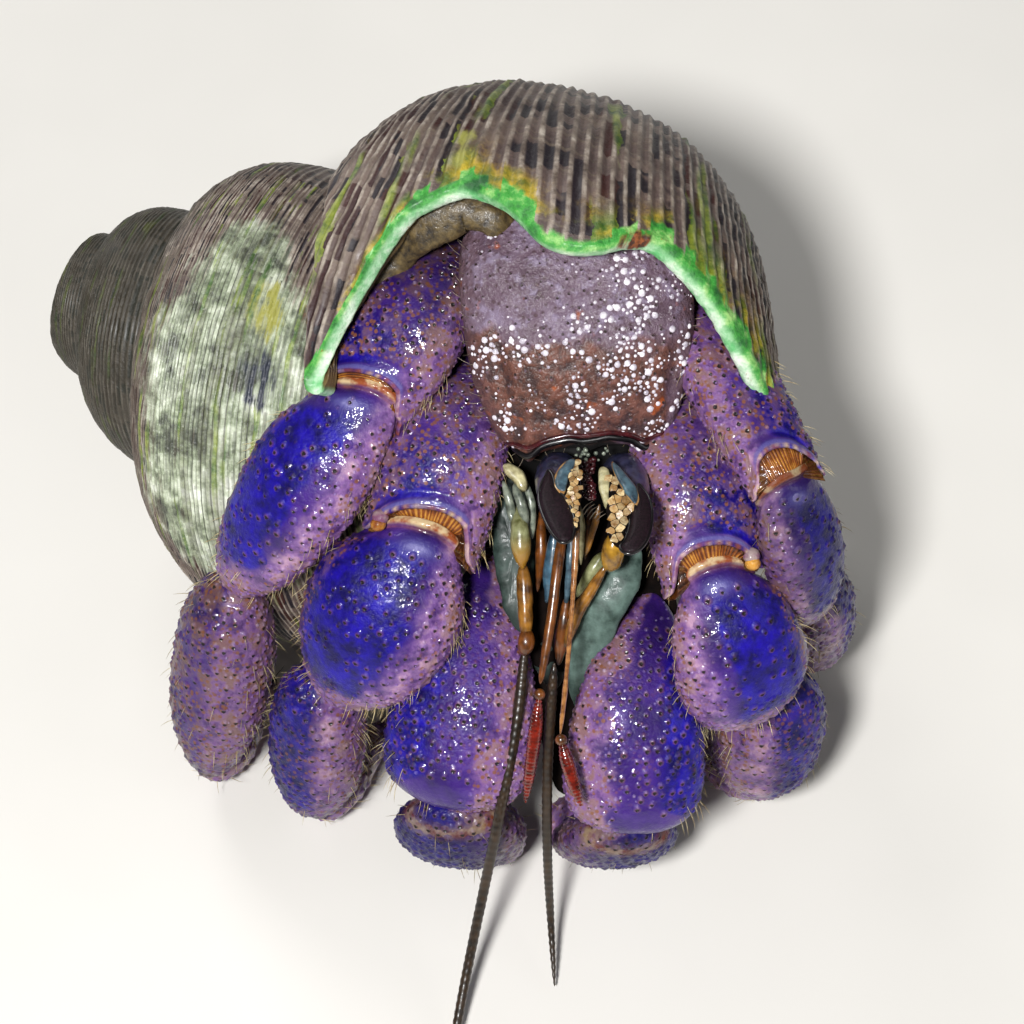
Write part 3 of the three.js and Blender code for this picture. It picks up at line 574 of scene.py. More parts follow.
CLAWS = {
    "cheliped_right": {
        "face": (-0.12, -0.62, 0.78), "shoulder": (0.8, -6.4, 14.6), "elbow": (-1.0, -11.2, 16.0),
        "forearm": (-2.2, -16.1, 14.0), "wrist": (-3.3, -20.4, 9.7), "tip": (-1.8, -16.9, -0.3), "inward": 1,
        "carpus": (1.3, 2.8, 3.75, 3.7), "palm": (3.0, 3.3, 2.6, 1.1),
    },
    "cheliped_left": {
        "face": (0.12, -0.62, 0.78), "shoulder": (4.2, -6.6, 14.8), "elbow": (6.8, -13.2, 16.0),
        "forearm": (6.3, -18.1, 14.2), "wrist": (6.0, -21.7, 9.6), "tip": (4.2, -15.4, -0.3), "inward": -1,
        "carpus": (1.4, 2.8, 3.5, 3.5), "palm": (2.8, 3.1, 2.6, 1.2),
    },
}
HEAD_MIDDLE = 3.7  # the head's midline, from the layout's X = 0


def times(widths, share):
    return [w * share for w in widths]


def inner_share(skin, inward):
    """-1 at a limb's edge away from the head, 1 at its edge towards it."""
    toward = np.sign(skin.across[:, 0].mean()) * inward
    return skin.c * toward


def weathered(skin, seed, low=0.05, high=0.025):
    skin.push(low * lumps(skin.points, 2.4, seed) + high * lumps(skin.points, 0.7, seed + 3))


def knee_arch(c, half_width):
    """The knee's margins arch towards the body in the middle: 1 there, 0 from half_width out."""
    return np.maximum(1 - (np.abs(c) / half_width) ** 2.4, 0)


def merus_skin(leg, inward, seed):
    v = {k: np.array(leg[k], float) for k in ("hip", "thigh", "knee")}
    skin = limb_skin(
        path=[v["hip"], v["thigh"], v["knee"]],
        face=leg["face"],
        width=leg["merus"],
        top=times(leg["merus"], 0.62),
        closed=(True, False),
        square=2.1,
    )
    inner = inner_share(skin, inward)
    # The far margin is cut back in a level arch over the knee, and runs on as a lobe at the inner edge.
    outer = step(-0.15, 0.35, skin.s)
    lobe = step(0.7, 0.97, inner) * step(-0.75, 0.0, skin.s)
    shift = 0.3 + outer * (0.2 - 1.25 * knee_arch(skin.c, 0.9) - leg["tilt"] * inner) + leg["lobe"] * lobe
    skin.points = skin.points + skin.ahead * (shift * step(0.4, 1.0, skin.t))[..., None]
    skin.measure()
    rim = (
        step(0.03, 0.12, skin.left) * step(0.52, 0.26, skin.left) * step(0.0, 0.4, skin.s)
        * step(0.9, 0.7, np.abs(inner))
    )
    teeth = 0.5 + 0.5 * np.cos(skin.angle * 34)
    skin.push(
        0.05 * rim + 0.07 * bell(skin.left, 0.0, 0.12) * teeth - 0.09 * bell(skin.left, 0.75, 0.16) * outer
    )
    skin.push(0.05 * lumps(skin.points, 2.4, seed) + 0.035 * lumps(skin.points, 0.6, seed + 3))
    near = step(0.15, 0.7, skin.t)
    plain = step(0.75, 1.1, skin.left) + (1 - outer) + step(0.75, 0.9, np.abs(inner))
    plain = np.clip(plain, 0, 1) * step(0.1, 0.3, skin.left)
    skin.marks.update(
        indigo=0.7 * step(0.45, 0.75, skin.t) * step(0.55, -0.1, inner) * step(0.0, 0.5, skin.s) * (1 - rim),
        mauve=0.45 - 0.5 * leg["dusk"] + 0.7 * step(0.35, 0.85, np.abs(inner))
            + 0.5 * step(0.3, -0.3, skin.s) + 0.3 * (1 - near),
        tan=(0.6 + 0.4 * step(0.2, 0.9, np.abs(inner))) * plain,
        rim=0.8 * rim,
        cream=0.75 * bell(skin.left, 0.0, 0.1) * teeth,
        shade=(0.3 + 0.55 * leg["dusk"]) * step(0.5 + 0.4 * leg["dusk"], 0.2, skin.t),
        pitted=0.95 * plain,
        beaded=(0.55 + 0.45 * step(0.3, 0.9, np.abs(inner))) * plain,
        bristly=step(0.75, 0.98, np.abs(inner)) * step(-0.9, 0.3, skin.s) * plain,
    )
    return skin


def carpus_skin(leg, inward, seed):
    v = {k: np.array(leg[k], float) for k in ("knee", "shin", "wrist")}
    skin = limb_skin(
        path=[v["knee"], v["shin"], v["wrist"]],
        face=leg["face"],
        width=leg["carpus"],
        top=times(leg["carpus"], 0.6),
        bottom=times(leg["carpus"], 0.55),
        ends=(4, 4),
        closed=(False, True),
    )
    inner = inner_share(skin, inward)
    outer = step(-0.3, 0.4, skin.s)
    tilted = leg["tilt"] * np.maximum(inner, -leg.get("outer_tilt", 1.0))
    shift = 0.7 - outer * (1.15 * knee_arch(skin.c, 1.05) + tilted)
    skin.points = skin.points + skin.ahead * (shift * step(0.3, 0.0, skin.t))[..., None]
    skin.measure()
    rim = step(0.5, 0.3, skin.walk)
    shoulder = bell(skin.walk, 1.5, 0.9) * outer * bell(skin.c, 0, 0.6)
    skin.push(0.12 * bell(skin.walk, 0.22, 0.2) - 0.14 * bell(skin.walk, 0.62, 0.16) + 0.25 * shoulder)
    skin.push(
        0.06 * lumps(skin.points, 2.4, seed) * step(1, 3, skin.walk)
        + 0.025 * lumps(skin.points, 0.7, seed + 3)
    )
    ragged = 0.22 * lumps(skin.points, 1.3, seed)
    patch = step(0.72, 0.05, inner + ragged) * step(-0.5, 0.1, skin.s) * step(1.1, 0.8, -inner + ragged)
    lower = step(0.7, 0.95, skin.t + 0.3 * ragged)
    skin.marks.update(
        indigo=patch * (1 - lower) * step(0.7, 2.6, skin.walk + 2 * ragged),
        mauve=0.95 * step(0.2, 1.0, inner) + 0.8 * lower + 0.6 * step(0.0, -0.6, skin.s),
        # The rim mark here paints a pale lilac-blue band on the carpus's shoulder: partly its own lighter
        # colour, partly a painted sheen.
        rim=0.95 * bell(skin.walk, 1.5, 0.6) * outer * bell(inner, 0.15, 0.5),
        tan=(0.8 * step(0.6, 1.0, np.abs(inner)) + 0.8 * lower) * step(0.8, 1.6, skin.walk),
        cream=0.95 * rim * step(-0.5, 0.1, skin.s),
        ribbed=0.55 * bell(skin.walk, 0.55, 0.12) * outer,
        wave=0.4,
        shade=0.25 * step(-0.3, -0.8, skin.s) + leg.get("dim", 0.0),
        pitted=(0.6 + 0.4 * step(0.1, 0.7, inner) + 0.5 * lower) * step(0.8, 1.4, skin.walk)
            * step(-0.7, 0.0, skin.s),
        beaded=(0.06 + 0.8 * step(0.35, 0.9, inner) + 0.5 * lower) * step(0.8, 1.6, skin.walk),
        bristly=(step(0.8, 1.0, np.abs(inner)) + 0.5 * lower) * step(1.5, 2.5, skin.walk),
    )
    return skin


def membrane_skin(above, below, lengthwise):
    """The knee's soft skin, from inside the merus's margin to inside the carpus's, ribbed along or across."""
    fine = 240

    def ring(edge, shrink):
        middle = edge.mean(0)
        place = np.arange(fine) * len(edge) / fine
        i, part = place.astype(int), (place % 1)[:, None]
        inset = middle + (edge - middle) * shrink
        return inset[i] * (1 - part) + inset[(i + 1) % len(edge)] * part

    start, end = ring(above, 0.86), ring(below, 0.93)
    angle = 2 * math.pi * np.arange(fine) / fine
    share = np.linspace(-0.8, 1.25, 30)[:, None]
    across = start + (end - start) * share[..., None]
    middle = across.mean(1, keepdims=True)
    across = (
        middle
        + (across - middle) * (1 - 0.14 * step(0.95, 1.25, share) - 0.1 * step(0.0, -0.8, share))[..., None]
    )
    skin = Skin(across)
    wave = (
        0.5 + 0.5 * np.cos(angle * 76 + 2.4 * np.sin(angle * 9)) if lengthwise
        else 0.5 + 0.5 * np.cos(share * 2 * math.pi / 0.42)
    )
    wave = wave * np.ones((30, fine))
    skin.push(0.05 * wave + 0.05)
    # The wave mark follows the ribs, so the finish paints their crests light as highlights and their furrows
    # dark as shade.
    skin.marks.update(ribbed=1.0, wave=0.15 + 0.85 * wave, shade=0.6 * step(0.25, -0.2, share))
    return skin


def leg_skins(leg, inward, seed):
    merus = merus_skin(leg, inward, seed)
    carpus = carpus_skin(leg, inward, seed + 1)
    membrane = membrane_skin(merus.points[-1], carpus.points[0], leg["lengthwise"])
    inner = inner_share(merus, inward)[-1]
    corner = np.argmin(np.abs(inner + 0.7) + (merus.s[-1] < 0))
    way = merus.ahead[-1, 0]
    seat = merus.points[-1, corner] * 0.93 + merus.points[-1].mean(0) * 0.07
    knob = ball_skin(seat + 0.3 * way, (0.4, 0.36, 0.36))
    knob.marks.update(ribbed=1.0, wave=1.0)
    socket = ball_skin(seat - 0.1 * way, (0.44, 0.44, 0.36))
    socket.marks.update(rim=0.8, cream=0.5)
    for skin in (merus, carpus):
        skin.marks.setdefault("shade", 0.0)
    merus.cup(True, 1.4)
    carpus.cup(False, 0.8)
    propodus = propodus_skin(leg, inward, seed + 2)
    knee = [merus, membrane, carpus] + ([knob, socket] if leg.get("knobbed", True) else [])
    return knee + [propodus, dactylus_skin(leg, seed + 3)]


def propodus_skin(leg, inward, seed):
    skin = limb_skin(
        path=[leg["heel"], leg["ankle"]],
        face=leg["face"],
        width=leg["propodus"],
        top=times(leg["propodus"], 0.85),
        ends=(4, 4),
    )
    inner = inner_share(skin, inward)
    weathered(skin, seed, 0.07, 0.035)
    patch = step(0.5, -0.2, inner + 0.2 * lumps(skin.points, 1.3, seed))
    skin.marks.update(
        indigo=(0.85 - leg.get("tanned", 0.0)) * patch * step(0.95, 0.8, skin.t),
        mauve=0.3 + 0.7 * step(0.0, 0.6, inner),
        tan=0.35 + 0.5 * step(0.3, 0.9, inner) + 1.2 * leg.get("tanned", 0.0),
        shade=0.25 + 0.5 * step(0.86, 1.0, skin.t),
        pitted=0.9 + 0 * inner,
        beaded=0.3 + 0.4 * step(0.2, 0.9, inner),
        bristly=0.6 * step(0.7, 1.0, np.abs(inner)) + 0.05,
    )
    return skin


def dactylus_skin(leg, seed):
    ankle, tip = np.array(leg["ankle"], float), np.array(leg["tip"], float)
    skin = limb_skin(
        path=[ankle, (ankle + tip) / 2 + [0, 0, 0.4], tip],
        face=(0, 0, 1),
        width=(1.6, 1.5, 0.95, 0.4),
        top=(1.5, 1.4, 0.9, 0.4),
        ends=(4, 8),
    )
    weathered(skin, seed)
    skin.points[..., 2] = np.maximum(skin.points[..., 2], 0)
    skin.marks.update(mauve=0.7, tan=0.6, shade=step(0.8, 1.0, skin.t), pitted=0.8, bristly=0.8)
    return skin


def claw_skins(claw, seed):
    """Carpus, palm and movable finger of a cheliped, under rows of flat scales."""
    wrist, tip = np.array(claw["wrist"], float), np.array(claw["tip"], float)
    inward = np.array([claw["inward"], 0, 0], float)
    carpus = limb_skin(
        path=[np.array(claw["elbow"]) + [-0.3 * claw["inward"], 1.1, 0.9], claw["forearm"], claw["wrist"]],
        face=claw["face"],
        width=claw["carpus"],
        top=times(claw["carpus"], 0.55),
        bottom=times(claw["carpus"], 0.6),
        ends=(4, 7),
    )
    inner = inner_share(carpus, claw["inward"])
    band = step(3.3, 2.7, carpus.left) * step(0.6, 0.2, inner) * step(-0.1, 0.2, carpus.s)
    weathered(carpus, seed, 0.06, 0.02)
    outer = step(0.1, -0.6, inner)
    ragged = 0.2 * lumps(carpus.points, 1.1, seed + 2) + 0.12 * lumps(carpus.points, 0.5, seed + 3)
    carpus.marks.update(
        indigo=(0.15 + 0.65 * outer) * step(0.5, -0.1, inner + ragged) * step(0.05, 0.3, carpus.t)
            * (1 - band),
        mauve=0.15 + 0.75 * step(0.15, 0.9, inner + ragged) * (1 - band),
        tan=(0.2 + 0.7 * step(0.2, 0.9, inner + ragged)) * (1 - band),
        shade=0.3 * step(0.45, 0.1, carpus.t),
        pitted=(1 - band) * step(0.08, 0.2, carpus.t) * (0.6 + 0.4 * step(0.7, 0.2, inner)),
        beaded=(0.2 + 0.8 * step(0.1, 0.6, inner)) * (1 - band),
        bristly=step(-0.6, -0.95, inner),
    )
    facing = (claw["face"][0], -0.82, 0.1)
    palm = limb_skin(
        path=[wrist, wrist + 0.45 * (tip - wrist) + [0, -0.6, 0], tip],
        face=facing,
        width=claw["palm"],
        top=times(claw["palm"], 0.5),
        bottom=times(claw["palm"], 0.55),
        ends=(4, 7),
    )
    inner = inner_share(palm, claw["inward"])
    weathered(palm, seed + 1, 0.06, 0.03)
    palm.marks.update(
        indigo=0.7 * step(0.7, 0.1, inner),
        cream=0.7 * bell(palm.t, 0.08, 0.03),
        mauve=0.05 + 0.6 * step(0.5, 0.95, inner),
        tan=0.15 + 0.6 * step(0.5, 1.0, inner),
        shade=0.5 + 0.35 * step(0.6, 1.0, palm.t),
        pitted=1.0,
        beaded=0.3,
        bristly=0.15,
    )
    root = wrist + 0.45 * (tip - wrist) + 1.2 * inward
    end = tip + 0.75 * inward
    finger = limb_skin(
        path=[root, (root + end) / 2 + 0.7 * inward, end],
        face=facing,
        width=(1.2, 1.4, 1.0, 0.45),
        top=(1.7, 1.7, 1.2, 0.5),
        ends=(4, 8),
    )
    weathered(finger, seed + 2)
    finger.marks.update(mauve=0.6, tan=0.5, shade=step(0.75, 1.0, finger.t), pitted=0.8, bristly=0.2)
    for skin in (palm, finger):
        skin.points[..., 2] = np.maximum(skin.points[..., 2], 0)
    arm = limb_skin(
        path=[claw["shoulder"], np.array(claw["elbow"]) + [0, -0.9, -0.3]],
        width=(1.5, 1.7, 1.4),
        top=(1.4, 1.6, 1.3),
        ends=(4, 5),
    )
    arm.marks.update(mauve=0.7, tan=0.7, shade=0.4, pitted=0.8, beaded=0.9)
    return [arm, carpus, palm, finger]


def tufted(skins):
    """Gathers the bristles of some skins into loose tufts."""
    for skin in skins:
        gathered = 0.08 + 0.92 * step(
            0.0, 0.45, lumps(skin.points, 1.0, 77) + 0.4 * lumps(skin.points, 0.5, 78)
        )
        skin.marks["bristly"] = skin.marks.get("bristly", 0.0) * gathered
    return skins


# ---- Scattered bristles, pits and beads ----
def scatter_tree():
    """Sets copies of a small shape on a skin: on end or leaning the way the skin's hairs lie."""
    tree = bpy.data.node_groups.new("scatter_on_skin", "GeometryNodeTree")
    face = tree.interface
    for name, kind in (
        ("Skin", "NodeSocketGeometry"),
        ("Shape", "NodeSocketObject"),
        ("Crowding", "NodeSocketString"),
        ("Spacing", "NodeSocketFloat"),
        ("Smallest", "NodeSocketFloat"),
        ("Largest", "NodeSocketFloat"),
        ("Lean", "NodeSocketFloat"),
        ("Disorder", "NodeSocketFloat"),
        ("Seed", "NodeSocketInt"),
        ("Finish", "NodeSocketMaterial"),
    ):
        face.new_socket(name, in_out="INPUT", socket_type=kind)
    face.new_socket("Scattered", in_out="OUTPUT", socket_type="NodeSocketGeometry")
    given = add(tree, "NodeGroupInput").outputs
    crowding = add(tree, "GeometryNodeInputNamedAttribute", {"Name": given["Crowding"]}, data_type="FLOAT")
    area = add(tree, "Math", [given["Spacing"], given["Spacing"]], operation="MULTIPLY")
    density = add(tree, "Math", [1.6, area], operation="DIVIDE")
    seats = add(
        tree,
        "GeometryNodeDistributePointsOnFaces",
        {
            "Mesh": given["Skin"],
            "Distance Min": given["Spacing"],
            "Density Max": density,
            "Density Factor": crowding,
            "Seed": given["Seed"],
        },
        distribute_method="POISSON",
    )
    lie = add(tree, "GeometryNodeInputNamedAttribute", {"Name": "lie"}, data_type="FLOAT_VECTOR")
    stray = add(
        tree,
        "FunctionNodeRandomValue",
        {0: (-1.0, -1.0, -1.0), 1: (1.0, 1.0, 1.0), "Seed": given["Seed"]},
        data_type="FLOAT_VECTOR",
    )
    leaning = add(tree, "VectorMath", {0: lie, "Scale": given["Lean"]}, operation="SCALE")
    straying = add(tree, "VectorMath", {0: stray, "Scale": given["Disorder"]}, operation="SCALE")
    way = add(tree, "VectorMath", [seats.outputs["Normal"], leaning], operation="ADD")
    way = add(tree, "VectorMath", [way, straying], operation="ADD")
    upright = add(tree, "FunctionNodeAlignRotationToVector", {"Vector": way}, axis="Z")
    turned = add(
        tree,
        "FunctionNodeAlignRotationToVector",
        {"Rotation": upright, "Vector": lie},
        axis="X",
        pivot_axis="Z",
    )
    size = add(
        tree,
        "FunctionNodeRandomValue",
        {2: given["Smallest"], 3: given["Largest"], "Seed": given["Seed"]},
        data_type="FLOAT",
    )
    shape = add(tree, "GeometryNodeObjectInfo", {"Object": given["Shape"]}).outputs["Geometry"]
    copies = add(
        tree,
        "GeometryNodeInstanceOnPoints",
        {"Points": seats.outputs["Points"], "Instance": shape, "Rotation": turned, "Scale": size.outputs[1]},
    )
    real = add(tree, "GeometryNodeRealizeInstances", {"Geometry": copies})
    coated = add(tree, "GeometryNodeSetMaterial", {"Geometry": real, "Material": given["Finish"]})
    add(tree, "NodeGroupOutput", {"Scattered": coated})
    return tree


SCATTER = scatter_tree()


def grown(name, base, tree, values):
    """The plain mesh that a geometry tree makes on a base mesh."""
    holder = bpy.data.objects.new(name, base)
    bpy.context.scene.collection.objects.link(holder)
    modifier = holder.modifiers.new("growth", "NODES")
    modifier.node_group = tree
    for item in tree.interface.items_tree:
        if item.item_type == "SOCKET" and item.in_out == "INPUT" and item.name in values:
            modifier[item.identifier] = values[item.name]
    graph = bpy.context.evaluated_depsgraph_get()
    mesh = bpy.data.meshes.new_from_object(
        holder.evaluated_get(graph), preserve_all_data_layers=True, depsgraph=graph
    )
    holder.modifiers.remove(modifier)
    bpy.data.objects.remove(holder)
    mesh.name = name
    return mesh


def seed_shape(name, points, faces, marks=None):
    """A small shape kept out of the scene, to be copied over a skin."""
    mesh = bpy.data.meshes.new(name)
    mesh.from_pydata(points, [], faces)
    mesh.shade_smooth()
    for key, values in (marks or {}).items():
        give(mesh, key, values)
    flat = np.array(points)[:, :2]
    flat = (flat - flat.min(0)) / np.maximum(np.ptp(flat, axis=0), 1e-9)
    give(mesh, "own_place", np.column_stack([flat, np.zeros(len(flat))]), "FLOAT_VECTOR")
    return bpy.data.objects.new(name, mesh)


def disc_shape(name, radii, sides, height, marks=None, centre=(0.0, 0.0)):
    """A round pad, raised by height(x, y), of rings round a centre that widen out to the unit circle."""
    points = [(centre[0], centre[1], height(*centre))]
    for r in radii:
        for k in range(sides):
            a = 2 * math.pi * k / sides
            x = centre[0] * (1 - r) + r * math.cos(a)
            y = centre[1] * (1 - r) + r * math.sin(a)
            points.append((x, y, height(x, y)))
    faces = [(0, 1 + k, 1 + (k + 1) % sides) for k in range(sides)]
    for i in range(len(radii) - 1):
        a, b = 1 + i * sides, 1 + (i + 1) * sides
        faces += [(a + k, b + k, b + (k + 1) % sides, a + (k + 1) % sides) for k in range(sides)]
    values = {key: [mark(x, y) for x, y, _ in points] for key, mark in (marks or {}).items()}
    return seed_shape(name, points, faces, values)


PIT_CENTRE = 0.34


def pit_height(x, y):
    """A hollow at PIT_CENTRE with a raised ring round it and a rounded bump behind."""
    out = math.hypot(x - PIT_CENTRE, y)
    ring = 0.16 * math.exp(-(((out - 0.42) / 0.16) ** 2))
    bump = 0.3 * math.exp(-((x + 0.36) ** 2 + y**2) / 0.15)
    return 0.04 + ring + bump - 0.3 * max(0.0, math.hypot(x, y) - 0.7)


# The crown mark on the bump behind each pit is painted pale by the finishes, partly as a highlight.
PIT = disc_shape(
    "setal_pit",
    (0.24, 0.34, 0.48, 0.74, 1.0),
    8,
    pit_height,
    {
        "pit": lambda x,
        y: 1.0 if math.hypot(x - PIT_CENTRE, y) < 0.36 else 0.0,
        "halo": lambda x,
        y: math.exp(-(((math.hypot(x - PIT_CENTRE, y) - 0.42) / 0.2) ** 2)),
        "crown": lambda x,
        y: math.exp(-((x + 0.36) ** 2 + y**2) / 0.12),
    },
    centre=(PIT_CENTRE, 0.0),
)


def dome_height(x, y):
    return 0.62 * math.sqrt(max(0.0, 1 - x * x - y * y)) - 0.08


BEAD = disc_shape("bead", (0.38, 0.7, 0.92, 1.0), 8, dome_height)
# A grain's crown mark is strongest at its top, where the finish paints it pale, partly as a highlight.
GRAIN = disc_shape("grain", (0.55, 1.0), 6, dome_height, {"crown": lambda x, y: 1 - math.hypot(x, y)})


def bristle_shape():
    points, faces = [], []
    for i, (z, bend, r) in enumerate(((-0.05, 0.0, 0.02), (0.35, 0.03, 0.018), (0.7, 0.12, 0.013))):
        points += [(bend + r * math.cos(a), r * math.sin(a), z) for a in (0, 2.094, 4.189)]
    points.append((0.24, 0.0, 1.0))
    for i in range(2):
        for k in range(3):
            m = (k + 1) % 3
            faces.append((3 * i + k, 3 * i + m, 3 * i + 3 + m, 3 * i + 3 + k))
    faces += [(6 + k, 6 + (k + 1) % 3, 9) for k in range(3)]
    faces.append((2, 1, 0))
    return seed_shape("bristle", points, faces)


HAIR = bristle_shape()


def coat(name, base, shape, crowding, spacing, sizes, finish, slot, lean=0.0, disorder=0.0, seed=1):
    """A piece of many small shapes on a skin, each at its root's place on the map that baking uses."""
    mesh = grown(
        name,
        base,
        SCATTER,
        {
            "Shape": shape,
            "Crowding": crowding,
            "Spacing": spacing * MM,
            "Smallest": sizes[0] * MM,
            "Largest": sizes[1] * MM,
            "Lean": lean,
            "Disorder": disorder,
            "Seed": seed,
            "Finish": finish,
        },
    )
    count = len(mesh.vertices)
    places = np.zeros(count * 3, np.float32)
    mesh.vertices.foreach_get("co", places)
    places[2::3] = np.maximum(places[2::3], 0)
    mesh.vertices.foreach_set("co", places)
    root, own = np.zeros(count * 3, np.float32), np.zeros(count * 3, np.float32)
    mesh.attributes["root_place"].data.foreach_get("vector", root)
    mesh.attributes["own_place"].data.foreach_get("vector", own)
    corners = np.zeros(len(mesh.loops), np.int32)
    mesh.loops.foreach_get("vertex_index", corners)
    flat = root.reshape(-1, 3)[:, :2] + 0.003 * (own.reshape(-1, 3)[:, :2] - 0.5)
    while mesh.uv_layers:
        mesh.uv_layers.remove(mesh.uv_layers[0])
    layer = mesh.uv_layers.new(name="OFBake")
    layer.data.foreach_set("uv", flat[corners].astype(np.float32).ravel())
    return piece(name, mesh, finish)


# ---- The animal's limbs ----
def limb_piece(name, skins, parts, coats):
    """A limb's skin and its coats: (end of the name, shape, mark, spacing, sizes, seed)."""
    mesh = mesh_of(f"{name}_skin", tufted(skins))
    piece(f"{name}_skin", mesh, VIOLET, [f"{name}_{part}" for part in parts])
    for ending, shape, mark, spacing, sizes, seed in coats:
        hair = {"lean": 0.9, "disorder": 0.4} if shape is HAIR else {}
        finish = BRISTLE if shape is HAIR else VIOLET
        coat(
            f"{name}_{ending}", mesh, shape, mark, spacing, sizes, finish, "violet_cuticle", seed=seed, **hair
        )


for number, (name, leg) in enumerate(LEGS.items()):
    coats = (
        ("pits", PIT, "pitted", 0.46, (0.2, 0.31), number),
        ("grains", GRAIN, "beaded", 0.34, (0.08, 0.16), number + 9),
        ("bristles", HAIR, "bristly", 0.27, (0.4, 1.15), number),
    )
    skins = leg_skins(leg, 1 if name.endswith("right") else -1, number * 5)
    limb_piece(name, skins, ("merus", "carpus", "propodus", "dactylus"), coats)
for number, (name, claw) in enumerate(CLAWS.items()):
    coats = (
        ("scales", PIT, "pitted", 0.42, (0.19, 0.3), number + 20),
        ("grains", GRAIN, "beaded", 0.3, (0.07, 0.16), number + 30),
        ("bristles", HAIR, "bristly", 0.28, (0.4, 1.1), number + 40),
    )
    limb_piece(name, claw_skins(claw, 31 + number * 7), ("merus", "carpus", "palm", "finger"), coats)


# ---- Back plate ----
def shield_skin():
    skin = limb_skin(
        path=[(3.75, -8.3, 23.5), (3.5, -5.8, 26.0), (3.1, -1.4, 29.8), (2.9, 3.2, 30.4)],
        face=(0, -0.7, 0.72),
        width=(4.3, 5.5, 5.7, 5.3),
        top=(1.5, 2.1, 2.2, 1.9),
        bottom=(0.8, 1.5, 1.7, 1.5),
        ends=(13, 6),
        square=2.5,
        spacing=0.17,
    )
    x = skin.points[..., 0] - HEAD_MIDDLE
    # The front margin is hollowed over the eyes, with a low rostral point between them.
    hollow = 0.4 * np.maximum(1 - (np.abs(x + 0.05) / 2.7) ** 4, 0) - 0.2 * bell(x, 0.1, 0.5)
    hollow = hollow - 1.25 * bell(np.abs(x + 0.05), 3.05, 0.45)
    skin.points = skin.points + skin.ahead * (hollow * step(4.0, 1.5, skin.walk))[..., None]
    groove = bell(skin.t, 0.52 + 0.03 * np.cos(x), 0.02) * step(0.2, 0.7, skin.s)
    furrow = bell(np.abs(x), 3.6 + 2.0 * skin.t, 0.3) * step(0.55, 0.45, skin.t) * step(0.1, 0.25, skin.t)
    skin.push(
        0.35 * bell(skin.t, 0.3, 0.18) * bell(x, 0, 3.0) * step(0.3, 0.9, skin.s) - 0.16 * groove
        - 0.18 * furrow * skin.s
    )
    weathered(skin, 60, 0.07, 0.045)
    edge = bell(skin.walk, 1.5, 0.12) * step(0.0, 0.4, skin.s)
    front = step(0.56, 0.4, skin.t)
    topside = step(0.1, 0.5, skin.s) * step(1.8, 2.2, skin.walk)
    clusters = 0.06 + 0.94 * step(
        -0.15, 0.35, lumps(skin.points, 0.8, 62) + 0.4 * lumps(skin.points, 2.2, 65)
    )
    ragged = 0.3 * lumps(skin.points, 1.5, 63) + 0.2 * lumps(skin.points, 0.6, 64)
    skin.marks.update(
        tan=step(0.56, 0.36, skin.t + 0.22 * ragged) * (0.5 + 0.35 * step(2.0, -3.0, x)) + 0.5 * ragged,
        mauve=0.8 * step(0.35, -0.1, skin.s) + 0.5 * step(0.75, 0.95, np.abs(skin.c)),
        # Rim: the front margin's own dark line, and the front cap before it painted near-black as the shade
        # under the margin.
        rim=edge + step(1.5, 1.2, skin.walk),
        beaded=(0.1 + 0.7 * front + 0.6 * step(-1.5, 3.0, x)) * step(0.9, 0.62, skin.t) * clusters * topside,
        pitted=0.8 * topside,
        bristly=step(0.8, 0.97, np.abs(skin.c)) * step(-0.3, 0.3, skin.s),
    )
    return skin


shield = shield_skin()
shield_mesh = mesh_of("carapace_shield_skin", [shield])
piece("carapace_shield_skin", shield_mesh, SHIELD, ["carapace_shield"])
coat("shield_pearls", shield_mesh, BEAD, "beaded", 0.33, (0.08, 0.2), PEARL, "shield_cuticle", seed=3)
coat("shield_seed_pearls", shield_mesh, BEAD, "beaded", 0.2, (0.04, 0.1), PEARL, "shield_cuticle", seed=4)
coat("shield_pits", shield_mesh, PIT, "pitted", 0.5, (0.12, 0.22), SHIELD, "shield_cuticle", seed=5)
coat(
    "shield_bristles",
    shield_mesh,
    HAIR,
    "bristly",
    0.5,
    (0.5, 0.9),
    PALE_BRISTLE,
    "shield_cuticle",
    lean=0.3,
    disorder=0.4,
    seed=6,
)

# ---- Thorax and abdomen: one soft skin ----
# (the coil's axis is set out below, with the shell)
APEX_DROP = math.radians(6.4)
APEX_BACK = math.radians(27.8)
LIP_HEIGHT = 33.6
LIP_RADIUS = 19.8
SHOULDER_RADIUS = 8.9
SHOULDER_RISE = 12.9
BASE_REACH = 14.9
SHOULDER_SQUARENESS = 2.3
BASE_SQUARENESS = 2.15
WHORL_RATIO = 1.75
LATE_GROWTH = 0.05
SUTURE_SHARE = 0.965
APEX_WEAR = 5.3
APEX_DOME = 0.7
SHELL_WALL = 1.0
TO_BASE = np.array(
    [
        math.cos(APEX_DROP) * math.cos(APEX_BACK),
        -math.cos(APEX_DROP) * math.sin(APEX_BACK),
        math.sin(APEX_DROP),
    ]
)
TOWARDS_LIP = unit(np.array([0, 0, 1.0]) - TO_BASE * TO_BASE[2])
GROWTH_WAY = np.cross(TO_BASE, TOWARDS_LIP)
APEX = np.array([1.9, -2.8, 15.75]) - TO_BASE * LIP_HEIGHT


def coil_point(turn, height, radius):
    angle = 2 * math.pi * turn
    return (
        APEX + TO_BASE * height + TOWARDS_LIP * radius * math.cos(angle)
        + GROWTH_WAY * radius * math.sin(angle)
    )


